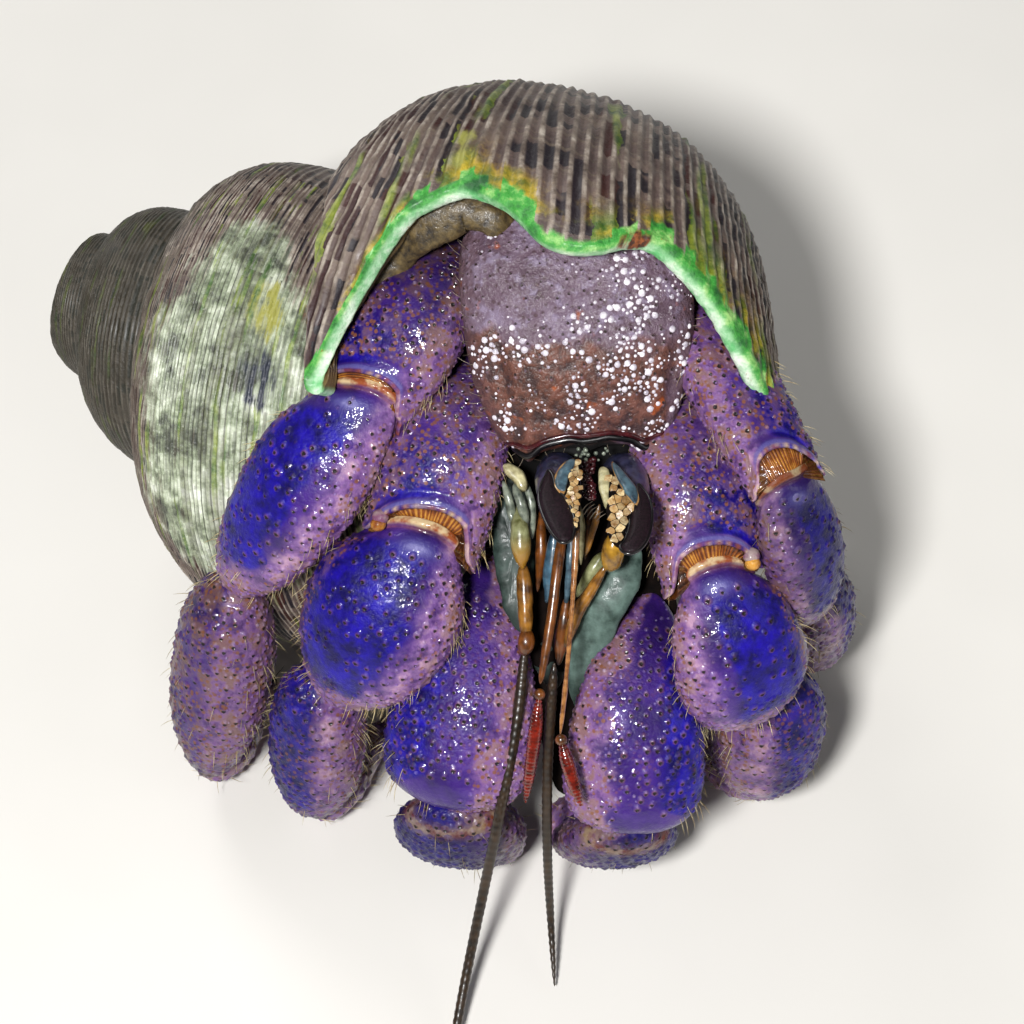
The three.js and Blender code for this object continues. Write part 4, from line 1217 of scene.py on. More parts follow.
def body_skins():
    coil = [
        coil_point(-turn, WHORL_RATIO**-turn * (LIP_HEIGHT + 1), WHORL_RATIO**-turn * (SHOULDER_RADIUS + 1.8))
        for turn in (0.09, 0.17, 0.25, 0.33, 0.4)
    ]
    thorax = limb_skin(
        path=[(3.7, -9.6, 20.0), (3.4, -5.4, 21.6), (2.9, -0.5, 24.0), (2.6, 4.6, 25.2)],
        face=(0, -0.4, 0.9),
        width=(2.8, 4.6, 5.2, 5.4),
        top=(1.6, 2.6, 4.4, 4.8),
        bottom=(3.0, 5.4, 7.4, 6.4),
        spacing=0.35,
    )
    abdomen = limb_skin(
        path=coil,
        face=TOWARDS_LIP,
        width=(4.6, 5.4, 5.2, 4.4, 3.0),
        top=(4.0, 4.8, 4.6, 3.9, 2.8),
        spacing=0.35,
    )
    for skin in (thorax, abdomen):
        skin.push(0.12 * lumps(skin.points, 1.4, 70) + 0.05 * np.sin(skin.walk * 5))
    # The thorax's front, deep under the head, is painted dark as shade through its shade mark and its pit mark.
    thorax.marks.update(shade=step(0.45, 0.3, thorax.t), pit=0.6 * step(0.35, 0.2, thorax.t))
    return [thorax, abdomen]


skin_piece("body_skin", body_skins(), SOFT, replaced=["thorax", "abdomen"])

# ---- Head ----
# Head places are (across, up, out) from a point between the eyes, leaning back with the face.
HEAD = np.array([4.02, -12.65, 25.73])
LEAN = math.radians(55)
HEAD_AXES = np.array([[1, 0, 0], [0, math.sin(LEAN), math.cos(LEAN)], [0, -math.cos(LEAN), math.sin(LEAN)]])


def head_points(places):
    return HEAD + np.asarray(places, float) @ HEAD_AXES


def rod(places, widths, depth=1.0, spacing=0.1, ends=(5, 5)):
    """A round rod through head places, with its half-widths along it."""
    return limb_skin(
        path=head_points(places),
        width=widths,
        top=times(widths, depth),
        face=HEAD_AXES[2],
        ends=ends,
        spacing=spacing,
    )


def cushion(
    outline, out, slope=(0.0, 0.0), height=0.4, back=0.3, spacing=0.1, swell=0.6, seed=None, crisp=False
):
    """A padded shape with a rounded outline (across, up), standing out by slope across and up the face."""
    corners = np.asarray(outline, float)
    loop = np.vstack([corners, corners[:1]])
    run = np.concatenate([[0], np.cumsum(np.linalg.norm(np.diff(loop, axis=0), axis=1))])
    count = max(12, int(run[-1] / spacing))
    at = np.linspace(0, run[-1], count, endpoint=False)
    padded = np.vstack([corners[-2:], loop, corners[1:3]])
    place = np.interp(at, run, np.arange(len(run))) + 2
    i = place.astype(int)
    f = (place - i)[:, None]
    p, q, r, w = (padded[i + k] for k in (-1, 0, 1, 2))
    edge = q + 0.5 * ((r - p) * f + (2 * p - 5 * q + 4 * r - w) * f**2 + (3 * q - p - 3 * r + w) * f**3)
    if crisp:
        edge = q * (1 - f) + r * f
    # The rings shrink towards the middle line between the two ends that are furthest apart.
    middle = edge.mean(0)
    spine_way = np.linalg.svd(edge - middle)[2][0]
    along = (edge - middle) @ spine_way
    reach = 0.55 * np.abs(along).max()
    bins = np.linspace(-1, 1, 7) * reach
    sideways = np.array([-spine_way[1], spine_way[0]])
    off = (edge - middle) @ sideways
    mids = [np.average(off, weights=np.exp(-(((along - b) / (0.3 * reach)) ** 2))) for b in bins]
    target_along = np.clip(along, -reach, reach) * 0.8
    target = (
        middle + target_along[:, None] * spine_way + np.interp(target_along, bins, mids)[:, None] * sideways
    )
    rings = []
    for rise in np.linspace(-0.5, 0.5, 15)[1:-1] * math.pi:
        flat = target + (edge - target) * math.cos(rise) ** swell
        lift = math.sin(rise) * (height if rise > 0 else back)
        base = out + flat[:, 0] * slope[0] + flat[:, 1] * slope[1]
        rings.append(np.column_stack([flat, base + lift]))
    skin = Skin(head_points(np.stack(rings)))
    if seed is not None:
        skin.push(0.04 * lumps(skin.points, 0.35, seed))
    return skin


def flakes(region, out, slope, size, seed):
    """Flat crumpled flakes that pave a region, each cut back a little from its neighbours."""
    rng = np.random.default_rng(seed)
    corners = np.asarray(region, float)
    low, high = corners.min(0) - size, corners.max(0) + size
    ahead = np.roll(corners, -1, 0)
    seeds = []
    for _ in range(6000):
        spot = low + rng.random(2) * (high - low)
        if all(np.hypot(*(spot - other)) > size * 0.8 for other in seeds):
            seeds.append(spot)
    skins = []
    for spot in seeds:
        crosses = (corners[:, 1] > spot[1]) != (ahead[:, 1] > spot[1])
        run = (
            corners[:, 0]
            + (spot[1] - corners[:, 1]) / (ahead[:, 1] - corners[:, 1] + 1e-9) * (ahead - corners)[:, 0]
        )
        if (crosses & (spot[0] < run)).sum() % 2 == 0:
            continue
        cell = [spot + 1.1 * size * np.array([math.cos(a), math.sin(a)]) for a in np.arange(8) * math.pi / 4]
        for other in seeds:
            gap = other - spot
            if not 0 < np.hypot(*gap) < 2.4 * size:
                continue
            # The part of the cell that lies nearer to this seed than to the other.
            side = [(p - (spot + other) / 2) @ gap for p in cell]
            kept = []
            for k, p in enumerate(cell):
                before, s, s_before = cell[k - 1], side[k], side[k - 1]
                if (s < 0) != (s_before < 0):
                    kept.append(before + (p - before) * s_before / (s_before - s))
                if s < 0:
                    kept.append(p)
            cell = kept
        cell = spot + (np.array(cell) - spot) * rng.uniform(0.9, 1.0)
        tilt = slope + rng.normal(0, 0.28, 2) + [0, 0.1]
        level = out + rng.uniform(-0.03, 0.05) + spot @ slope - spot @ tilt
        skin = cushion(cell, level, tilt, height=0.02, back=0.1, spacing=0.05, swell=0.12, crisp=True)
        skin.push(0.012 * lumps(skin.points * [2.5, 1, 1], 0.14, seed))
        skin.marks.update(shade=rng.uniform(0.0, 0.5) ** 1.5, tan=rng.uniform(0.0, 0.9) ** 1.5)
        skins.append(skin)
    return skins


EYE_SLOPE = np.array([0.0, -0.95])
EYES = {
    "right": {
        "stalk": [
            (-1.5, 1.75, -5.4), (-1.72, 1.25, -3.6), (-1.75, 0.6, -1.95), (-1.68, -0.3, -0.6),
            (-1.6, -1.4, 0.4),
        ],
        "cornea": [
            (-2.23, 1.45), (-2.52, 0.97), (-2.72, 0.29), (-2.67, -0.29), (-2.43, -0.97), (-2.09, -1.6),
            (-1.65, -2.03), (-1.24, -1.95), (-1.02, -1.4), (-1.02, -0.92), (-1.2, -0.35), (-1.45, 0.1),
            (-1.7, 0.34), (-1.94, 0.72), (-2.04, 1.16),
        ],
        "patch": [
            (-0.97, 1.99), (-1.26, 1.95), (-1.62, 1.66), (-1.88, 1.2), (-1.93, 0.78), (-1.75, 0.46),
            (-1.45, 0.45), (-1.31, 0.92), (-1.21, 1.31), (-0.97, 1.65),
        ],
        "gold": [
            (-0.85, 2.13), (-0.68, 1.79), (-0.74, 1.12), (-0.66, 0.29), (-0.74, -0.53), (-0.8, -1.41),
            (-0.98, -1.41), (-1.1, -0.68), (-1.45, -0.44), (-1.42, 0.15), (-1.32, 0.92), (-1.2, 1.5),
            (-1.02, 2.09),
        ],
        "flake": 0.25,
    },
    "left": {
        "stalk": [
            (1.2, 1.75, -5.4), (1.48, 1.25, -3.6), (1.62, 0.5, -1.95), (1.7, -0.5, -0.5), (1.62, -1.6, 0.5)
        ],
        "cornea": [
            (2.12, 0.77), (2.55, 0.25), (2.72, -0.48), (2.67, -1.21), (2.43, -1.93), (1.97, -2.44),
            (1.5, -2.56), (1.15, -2.3), (1.4, -1.9), (1.6, -1.35), (1.72, -0.68), (1.93, -0.34), (2.1, -0.0),
            (2.08, 0.34),
        ],
        "patch": [
            (0.9, 1.82), (1.41, 1.36), (1.94, 0.68), (2.12, 0.19), (1.97, -0.2), (1.79, -0.1), (1.5, 0.29),
            (1.22, 0.78), (0.98, 1.26),
        ],
        "gold": [
            (0.66, 1.5), (0.95, 1.2), (1.16, 0.68), (1.41, 0.15), (1.7, -0.15), (1.76, -0.5), (1.55, -1.0),
            (1.44, -1.5), (1.26, -1.95), (1.08, -2.3), (0.73, -2.0), (0.53, -1.46), (0.62, -0.97),
            (0.5, -0.44), (0.62, 0.15), (0.58, 0.82),
        ],
        "flake": 0.36,
    },
}
for side, eye in EYES.items():
    stalk = rod(eye["stalk"], (0.85, 1.1, 1.08, 0.9, 0.6), 0.95, ends=(5, 3))
    ridges = 0.5 + 0.5 * np.cos(stalk.angle * 20 + 1.5 * np.sin(stalk.walk * 2))
    stalk.push(0.035 * ridges * step(0.0, 0.15, stalk.t) + 0.04 * lumps(stalk.points, 0.5, 81))
    stalk.marks.update(shade=0.5 * step(0.35, 0.1, stalk.t))
    skin_piece(f"eyestalk_{side}_skin", stalk, STALK, replaced=[f"eyestalk_{side}"])
    outline = np.array(eye["cornea"])
    cornea = cushion(outline, 0.48, EYE_SLOPE, height=0.52, back=0.9, spacing=0.07, swell=0.5)
    skin_piece(f"eye_{side}_cornea", cornea, CORNEA, [f"eye_{side}"])
    # A thin black welt runs round the cornea.
    loop = np.vstack([outline, outline[:2]])
    welt = rod(np.column_stack([loop, 0.6 + loop @ EYE_SLOPE]), (0.085,) * 3, spacing=0.07, ends=(9, 9))
    skin_piece(f"eye_{side}_welt", welt, EYE_EDGE)
    patch = np.array(eye["patch"])
    edging = patch.mean(0) + (patch - patch.mean(0)) * 1.12 + [-0.04 if side == "right" else 0.03, -0.07]
    skin_piece(f"eye_{side}_edging", cushion(edging, 0.56, EYE_SLOPE, 0.2, 0.6), TAN_EDGE)
    skin_piece(f"eye_{side}_patch", cushion(patch, 0.64, EYE_SLOPE, 0.24, 0.6, seed=9), BLUE_PATCH)
    # Under the gold flakes, a near-black bed paints the shade in the gaps between them.
    bed = cushion(eye["gold"], 0.5, EYE_SLOPE, 0.12, 0.7)
    skin_piece(f"eye_{side}_gold_bed", bed, SHADE_SHEET)
    gold = flakes(eye["gold"], 0.7, EYE_SLOPE, eye["flake"], 5)
    skin_piece(f"eye_{side}_gold", gold, FLAKE)

cream = [
    (0.24, 1.5), (0.5, 1.62), (0.74, 1.31), (0.7, 0.53), (0.64, -0.15), (0.5, -0.44), (0.34, 0.0),
    (0.19, 0.68),
]
skin_piece("eye_left_cream", cushion(cream, 0.42, EYE_SLOPE, 0.24, 0.6, seed=6), CREAM)

# Small glossy beads between the eyes, pale ones above them, and behind it all a near-black bed that paints the
# shade there.
rng = np.random.default_rng(4)
beads, granules = [], []
for k in range(70):
    up = 2.0 - 1.9 * (k / 70)
    spot = (-0.38 + rng.uniform(-0.42, 0.42), up, -2.1 - 0.75 * up + rng.uniform(-0.12, 0.12))
    beads.append(ball_skin(head_points(spot), [rng.uniform(0.09, 0.17)] * 3, rings=7, sides=9))
for k in range(15):
    spot = (-0.12 + rng.uniform(-0.8, 0.8), 2.2 + rng.uniform(-0.22, 0.4), -3.2 + rng.uniform(-0.15, 0.15))
    granules.append(ball_skin(head_points(spot), [rng.uniform(0.05, 0.12)] * 3, rings=7, sides=9))
skin_piece("rostral_beads", beads, GARNET)
skin_piece("rostral_granules", granules, GREY)
bed = [
    (-3.4, 2.9), (-0.3, 3.1), (2.8, 2.9), (3.3, 0.6), (3.5, -2.6), (4.2, -5.8), (1.2, -7.2), (-0.4, -8.5),
    (-3.2, -8.0), (-4.9, -3.0), (-4.7, 1.6),
]
skin_piece("head_bed", cushion(bed, -7.2, (-0.08, 0.1), 0.5, 2.0, spacing=0.3, seed=8), SHADE_SHEET)
# Below the mouthparts, between the claws, another near-black bed paints the shade there.
lower_shade_outline = [(-2.6, -7.0), (0.2, -7.0), (0.1, -10.0), (-0.6, -14.2), (-1.8, -14.6), (-2.9, -10.0)]
skin_piece("lower_bed", cushion(lower_shade_outline, -8.4, (0.0, 0.12), 0.5, 1.5, spacing=0.3, seed=9), SHADE_SHEET)

# The back plate's front margin: a thin dark welt, doubled.
front = int(np.argmin(np.abs(shield.walk[:, shield.walk.shape[1] // 4] - 1.5)))
for number, (row, radius) in enumerate(((front, 0.17), (front + 3, 0.13))):
    ring = shield.points[row][shield.s[row] > 0.12]
    ring = ring[np.argsort(ring[:, 0])][::3]
    lift = shield.normals()[row][shield.s[row] > 0.12].mean(0) * 0.03
    welt = limb_skin(
        path=ring + lift, width=(radius,) * 3, top=(radius,) * 3, face=HEAD_AXES[2], ends=(9, 9), spacing=0.07
    )
    skin_piece(f"shield_welt_{number}", welt, EYE_EDGE if number == 0 else GARNET)

HEAD_RODS = {
    "tube_a": ([(-4.47, 1.0, -4.3), (-4.17, 0.01, -4.1), (-3.92, -1.08, -4.4)], (0.16, 0.2, 0.22), GREY),
    "tube_b": ([(-3.92, 0.8, -3.9), (-3.58, -0.14, -3.7), (-3.28, -1.17, -4.1)], (0.18, 0.24, 0.26), GREY),
    "tube_c": ([(-4.3, 0.0, -4.4), (-4.05, -0.78, -4.2), (-3.77, -1.47, -4.3)], (0.12, 0.17, 0.2), GREY),
    "tube_d": ([(-3.3, 0.9, -4.6), (-3.05, -0.4, -4.6), (-3.0, -1.9, -4.9)], (0.2, 0.24, 0.16), GREY),
    "bulb": (
        [(-3.72, -0.2, -4.6), (-3.63, -1.5, -4.1), (-3.57, -2.6, -4.1), (-3.5, -3.4, -4.5)],
        (0.3, 0.45, 0.5, 0.3),
        OLIVE,
    ),
    "rod": ([(-3.5, -3.0, -4.9), (-3.4, -4.6, -4.9), (-3.3, -6.94, -5.0)], (0.36, 0.4, 0.4, 0.4), HONEY),
    "joint": ([(-3.3, -6.3, -5.0), (-3.33, -7.1, -5.0), (-3.43, -7.7, -5.1)], (0.34, 0.45, 0.36), AMBER),
    "blue_rod": ([(-1.9, -1.4, -4.4), (-2.05, -3.3, -4.7), (-2.3, -5.1, -5.4)], (0.3, 0.38, 0.24), SKY),
    "amber_rod": ([(-2.6, -0.4, -5.4), (-2.56, -2.4, -5.2), (-2.75, -4.6, -5.9)], (0.24, 0.27, 0.16), AMBER),
    "grey_rod": (
        [(-1.05, -1.2, -4.2), (-1.15, -3.2, -4.3), (-1.36, -5.3, -4.9)], (0.2, 0.22, 0.12), BLUE_PATCH
    ),
    "golden_bulb": (
        [(0.98, -1.5, -1.9), (0.95, -2.4, -2.2), (0.86, -2.95, -2.6), (0.66, -3.5, -3.2)],
        (0.36, 0.54, 0.54, 0.28),
        GOLDEN,
    ),
    "left_rod": (
        [(0.62, -3.2, -3.6), (-0.02, -4.3, -4.1), (-0.75, -5.5, -4.5), (-1.4, -7.3, -4.9)],
        (0.26, 0.28, 0.3, 0.3),
        HONEY,
    ),
    "olive_arm": ([(0.5, -2.6, -4.4), (-0.1, -3.6, -4.6), (-0.8, -4.8, -5.2)], (0.36, 0.34, 0.24), OLIVE),
    "brown_rod": ([(-1.3, -4.8, -4.9), (-1.5, -6.4, -5.1), (-1.7, -8.2, -5.9)], (0.28, 0.36, 0.24), AMBER),
    "cross_rod": ([(0.3, -0.2, -3.6), (0.0, -1.4, -3.9), (-0.4, -2.8, -4.4)], (0.14, 0.17, 0.12), HONEY),
    "mouth_rod_a": (
        [(-0.65, -0.2, -3.8), (-0.55, -1.5, -4.2), (-0.6, -3.2, -4.8)], (0.14, 0.18, 0.12), CREAM
    ),
    "mouth_rod_b": ([(-0.15, -0.1, -4.0), (-0.2, -1.3, -4.2), (-0.4, -3.0, -4.7)], (0.13, 0.16, 0.12), AMBER),
}
tuft = []
for k in range(6):
    foot = np.array([-0.6 + 0.13 * k, -0.6 - 0.12 * k, -3.9])
    tuft.append(
        rod(
            [foot, foot + [0.25, 0.35, 0.5], foot + [0.55, 0.55, 0.8]],
            (0.03, 0.028, 0.015),
            spacing=0.08,
            ends=(3, 3),
        )
    )
skin_piece("mouth_bristles", tuft, PALE_BRISTLE)
antenna_nodes = {"rod": ["antenna_base_right"], "left_rod": ["antenna_base_left"]}
for name, (path, widths, finish) in HEAD_RODS.items():
    skin = rod(path, widths, ends=(3, 3))
    skin.push(0.035 * lumps(skin.points, 0.6, len(name)) + 0.02 * lumps(skin.points, 0.2, 3))
    skin.marks.update(shade=0.6 * step(0.16, 0.0, skin.t) + 0.7 * step(0.8, 1.0, skin.t))
    if name == "bulb":
        skin.marks.update(tan=step(0.45, 0.85, skin.t), shade=0.4 * step(0.16, 0.0, skin.t))
    skin_piece(f"head_{name}", skin, finish, replaced=antenna_nodes.get(name, ()))
cream_base = [
    (-4.51, 1.69), (-4.22, 1.88), (-3.82, 1.69), (-3.43, 1.39), (-3.23, 0.9), (-3.33, 0.45), (-3.68, 0.5),
    (-3.92, 0.9), (-4.27, 1.19),
]
skin_piece("peduncle_base", cushion(cream_base, -3.9, (0, -0.2), 0.4, 0.5, seed=12), CREAM)
plate = [
    (-4.9, 1.2), (-3.3, 1.0), (-2.9, -1.0), (-2.95, -3.5), (-3.2, -6.5), (-4.2, -6.0), (-4.6, -4.4),
    (-4.95, -2.4),
]
cheek = cushion(plate, -6.3, (0.05, 0), 0.3, 0.5, seed=13)
cheek.push(0.1 * lumps(cheek.points, 0.8, 14))
cheek.marks.update(shade=0.6 + 0.2 * lumps(cheek.points, 0.9, 16))
skin_piece("peduncle_plate", cheek, TEAL)
MAXILLIPEDS = {
    "left": [
        (2.24, -2.22, -5.6), (1.5, -3.86, -5.3), (0.5, -5.46, -5.6), (-0.1, -6.97, -6.2),
        (-0.42, -8.59, -6.8), (-0.65, -10.6, -7.6),
    ],
    "right": [(-3.62, -3.0, -7.6), (-3.01, -5.01, -7.8), (-2.36, -7.03, -7.8), (-1.8, -9.57, -8.4)],
}
for side, path in MAXILLIPEDS.items():
    skin = rod(path, (0.7, 1.0, 1.05, 0.95, 0.6), 0.45, 0.14)
    skin.push(0.07 * lumps(skin.points, 0.9, 41) + 0.03 * lumps(skin.points, 0.3, 42))
    skin.marks.update(
        shade=0.35 * step(0.0, -0.7, skin.s) + 0.5 * step(0.7, 1.0, skin.t)
            + (0.6 if side == "right" else 0.0)
    )
    skin_piece(f"maxilliped_{side}_skin", skin, TEAL, replaced=[f"maxilliped_{side}"])

FEELERS = {
    "antennule_right": (
        [
            (2.9, -9.4, 20.6),
            *map(tuple, head_points([(-1.6, -2.2, -4.3), (-2.09, -5.82, -3.9), (-2.62, -9.1, -4.2)])),
        ],
        (0.2, 0.27, 0.24, 0.27),
        AMBER,
    ),
    "antennule_left": (
        [
            *map(
                tuple,
                head_points(
                    [(-0.82, -0.7, -1.9), (-1.02, -4.37, -2.0), (-1.36, -8.73, -2.6), (-1.65, -11.6, -3.2)]
                ),
            )
        ],
        (0.22, 0.13, 0.12, 0.16),
        STEM,
    ),
    "antenna_right": (
        [
            (0.7, -14.9, 17.1), (0.2, -18.4, 14.2), (-0.7, -21.6, 10.4), (-1.5, -23.4, 6.0),
            (-2.4, -26.2, 2.2), (-3.2, -30.4, 0.5), (-3.9, -36.0, 0.45),
        ],
        (0.32, 0.28, 0.26, 0.24, 0.18),
        FEELER,
    ),
    "antenna_left": (
        [(2.1, -16.4, 17.0), (1.8, -19.2, 12.6), (1.8, -21.4, 7.4), (2.0, -22.9, 2.6), (2.2, -25.6, 0.5)],
        (0.3, 0.27, 0.25, 0.22, 0.18),
        FEELER,
    ),
}
for name, (path, widths, finish) in FEELERS.items():
    skin = limb_skin(path=path, width=widths, top=widths, ends=(8, 4), spacing=0.09)
    if name.startswith("antenna_"):
        skin.push(0.014 * np.cos(skin.walk * 2 * math.pi / 0.42))
    else:
        skin.push(0.02 * lumps(skin.points, 0.5, 2))
    skin_piece(f"{name}_skin", skin, finish, [name])
# The antennules' thick red lashes, of close rings, each from a small amber knuckle.
LASHES = {
    "right": [(-2.66, -9.6, -4.3), (-2.95, -12.2, -5.2), (-3.35, -15.1, -6.4)],
    "left": [(-1.6, -11.8, -3.2), (-1.15, -13.4, -3.5), (-0.62, -15.1, -3.9)],
}
for side, path in LASHES.items():
    lash = rod(path, (0.22, 0.34, 0.34, 0.29, 0.18), 0.9, 0.07, ends=(4, 4))
    lash.push(0.025 * np.cos(lash.walk * 2 * math.pi / 0.2))
    lash.marks.update(shade=0.25 * (0.5 - 0.5 * np.cos(lash.walk * 2 * math.pi / 0.2)))
    skin_piece(f"antennule_{side}_lash", lash, RUBY)
    knuckle = ball_skin(head_points(path[0]), (0.3, 0.3, 0.3))
    skin_piece(f"antennule_{side}_knuckle", knuckle, AMBER)

# ---- Shell ----
# Where the lip stands: (share from the suture to the base, turns past the opening's plane).
LIP_LINE = (
    (0.0, 0.1), (0.21, 0.1), (0.224, 0.096), (0.233, 0.088), (0.24, 0.074), (0.25, 0.059), (0.261, 0.04),
    (0.276, 0.019), (0.319, 0.006), (0.367, -0.003), (0.42, -0.001), (0.48, 0.003), (0.555, 0.01),
    (0.606, 0.007), (0.646, -0.001), (0.682, -0.015), (0.723, -0.022), (0.79, -0.023), (0.873, -0.021),
    (0.93, -0.018), (1.0, -0.02),
)
LIP_SPAN = 0.12  # turns that the lip curve reaches to each side
CORDS = 60


CLOSEST_STATION = 0.402
STATION_SHIFT = 0.0477
STATION_START = 0.0276  # what the shift would move the first station by


def whorl_tree():
    """A turban shell's outside by its rule: one outline carried round the axis, growing by a fixed ratio,
    with rounded spiral cords along it. Its own axis is Z, and its last turn can end at the lip."""
    tree = bpy.data.node_groups.new("turban_whorls", "GeometryNodeTree")
    face = tree.interface
    face.new_socket("Start", in_out="INPUT", socket_type="NodeSocketGeometry")
    for name in (
        "Lip Height", "Lip Radius", "Shoulder Radius", "Shoulder Rise", "Base Reach", "Whorl Ratio",
        "Late Growth", "First Turn", "Last Turn", "Crowding", "Lip Weight", "Cord Count", "Cord Height",
        "Cord Fan", "Wear", "Worn Tip", "Tip Dome",
    ):
        face.new_socket(name, in_out="INPUT", socket_type="NodeSocketFloat")
    face.new_socket("Lip Sag", in_out="INPUT", socket_type="NodeSocketVector")
    face.new_socket("Stations", in_out="INPUT", socket_type="NodeSocketInt")
    face.new_socket("Steps", in_out="INPUT", socket_type="NodeSocketInt")
    face.new_socket("Finish", in_out="INPUT", socket_type="NodeSocketMaterial")
    face.new_socket("Whorl Surface", in_out="OUTPUT", socket_type="NodeSocketGeometry")
    given = add(tree, "NodeGroupInput").outputs

    sheet = add(
        tree,
        "GeometryNodeMeshGrid",
        {"Size X": 1.0, "Size Y": 1.0, "Vertices X": given["Steps"], "Vertices Y": given["Stations"]},
    )
    at = add(tree, "SeparateXYZ", [add(tree, "GeometryNodeInputPosition")]).outputs
    from_lip = add(tree, ("POWER", ("SUBTRACT", 0.5, at["X"]), given["Crowding"]))
    span = add(tree, ("SUBTRACT", given["First Turn"], given["Last Turn"]))
    back = add(tree, ("MULTIPLY_ADD", from_lip, span, given["Last Turn"]))
    # Stations stand a little closer together near the shoulder.
    even = add(tree, ("ADD", at["Y"], 0.5))
    closer = add(tree, ("SINE", ("MULTIPLY", ("SUBTRACT", even, CLOSEST_STATION), 2 * math.pi)))
    share = add(tree, ("SUBTRACT", ("MULTIPLY_ADD", closer, -STATION_SHIFT, even), STATION_START))
    slant = add(tree, ("MULTIPLY", ("SUBTRACT", share, 0.5), math.pi))
    sine = add(tree, ("SINE", slant))
    cosine = add(tree, ("MAXIMUM", ("COSINE", slant), 0.0))
    below = add(tree, ("GREATER_THAN", share, 0.5))
    above = add(tree, ("SUBTRACT", 1.0, below))
    power = add(
        tree, ("MULTIPLY_ADD", below, 2 / BASE_SQUARENESS - 2 / SHOULDER_SQUARENESS, 2 / SHOULDER_SQUARENESS)
    )
    rise = add(tree, ("POWER", ("ABSOLUTE", sine), power))
    reach = add(
        tree,
        ("SUBTRACT", ("MULTIPLY", below, given["Base Reach"]), ("MULTIPLY", above, given["Shoulder Rise"])),
    )
    height = add(tree, ("MULTIPLY_ADD", rise, reach, given["Lip Height"]))
    inside = add(tree, ("MULTIPLY", above, given["Shoulder Radius"]))
    radius = add(
        tree, ("MULTIPLY_ADD", ("POWER", cosine, power), ("SUBTRACT", given["Lip Radius"], inside), inside)
    )

    # Where the lip stands at this height, in turns past the opening's plane.
    suture = add(tree, ("MULTIPLY_ADD", given["Shoulder Rise"], -SUTURE_SHARE, given["Lip Height"]))
    depth = add(tree, ("SUBTRACT", ("ADD", given["Lip Height"], given["Base Reach"]), suture))
    lip_share = add(tree, ("DIVIDE", ("SUBTRACT", height, suture), depth))
    lip = add(tree, "FloatCurve", {"Value": lip_share})
    curve = lip.mapping.curves[0]
    for share_at, turn in LIP_LINE[1:-1]:
        curve.points.new(share_at, 0.5 + turn / (2 * LIP_SPAN))
    for point, (share_at, turn) in zip((curve.points[0], curve.points[-1]), (LIP_LINE[0], LIP_LINE[-1])):
        point.location = (share_at, 0.5 + turn / (2 * LIP_SPAN))
    for point in curve.points:
        point.handle_type = "AUTO_CLAMPED"
    lip.mapping.update()
    lip_turn = add(
        tree, ("MULTIPLY", ("SUBTRACT", lip, 0.5), ("MULTIPLY", given["Lip Weight"], 2 * LIP_SPAN))
    )
    late = add(tree, ("SMOOTHSTEP", back, -0.3, 0.0))
    turn = add(tree, ("MULTIPLY_ADD", late, lip_turn, back))
    growth = add(tree, ("MULTIPLY_ADD", ("MAXIMUM", turn, 0.0), given["Late Growth"], ("MINIMUM", turn, 0.0)))
    size = add(tree, ("POWER", given["Whorl Ratio"], growth))
    # Towards the lip the shoulder is pressed down on the whorl before.
    cut = add(tree, ("MULTIPLY", ("MAXIMUM", ("MULTIPLY_ADD", turn, 1.62, 0.066), 0.0), given["Lip Weight"]))
    height = add(tree, ("MAXIMUM", height, ("MULTIPLY_ADD", cut, depth, suture)))

    # Cords: narrow ridges, every other one bolder, beaded and worn, that fan out towards the lip.
    fan = add(tree, ("MINIMUM", ("MAXIMUM", ("MULTIPLY_ADD", share, 1.6, -0.25), 0.0), 1.0))
    spread = add(tree, ("MULTIPLY", ("MULTIPLY", fan, given["Lip Weight"]), ("MAXIMUM", turn, -0.36)))
    strand = add(tree, ("MULTIPLY_ADD", spread, ("MULTIPLY", given["Cord Fan"], -1.0), share))
    phase = add(tree, ("MULTIPLY", ("MULTIPLY", strand, given["Cord Count"]), math.pi))
    ridge = add(tree, ("POWER", ("ABSOLUTE", ("SINE", phase)), 1.3))
    bold = add(tree, ("MULTIPLY_ADD", ("ABSOLUTE", ("SINE", ("MULTIPLY", phase, 0.5))), 0.45, 0.6))
    coil = add(tree, "CombineXYZ", [("MULTIPLY", turn, 42.0), ("MULTIPLY", share, 22.0), 3.0])
    worn = add(tree, ("NOISE", coil, 1.0, 3.0, 0.6))
    beads = add(tree, ("NOISE", coil, 3.3, 1.0, 0.6))
    beaded = add(tree, ("MULTIPLY_ADD", beads, 0.9, 0.45))
    cords = add(tree, ("MULTIPLY", ("MULTIPLY", ridge, bold), ("MULTIPLY", given["Cord Height"], beaded)))
    # At the lip's own edge the cords die out.
    cords = add(tree, ("MULTIPLY", cords, ("MULTIPLY_ADD", ("SMOOTHSTEP", back, -0.001, -0.011), 0.85, 0.15)))
    relief = add(tree, ("MULTIPLY_ADD", ("SUBTRACT", worn, 0.5), given["Wear"], cords))
    height = add(tree, ("MULTIPLY", ("MULTIPLY_ADD", relief, sine, height), size))
    radius = add(tree, ("MULTIPLY", ("MULTIPLY_ADD", relief, cosine, radius), size))

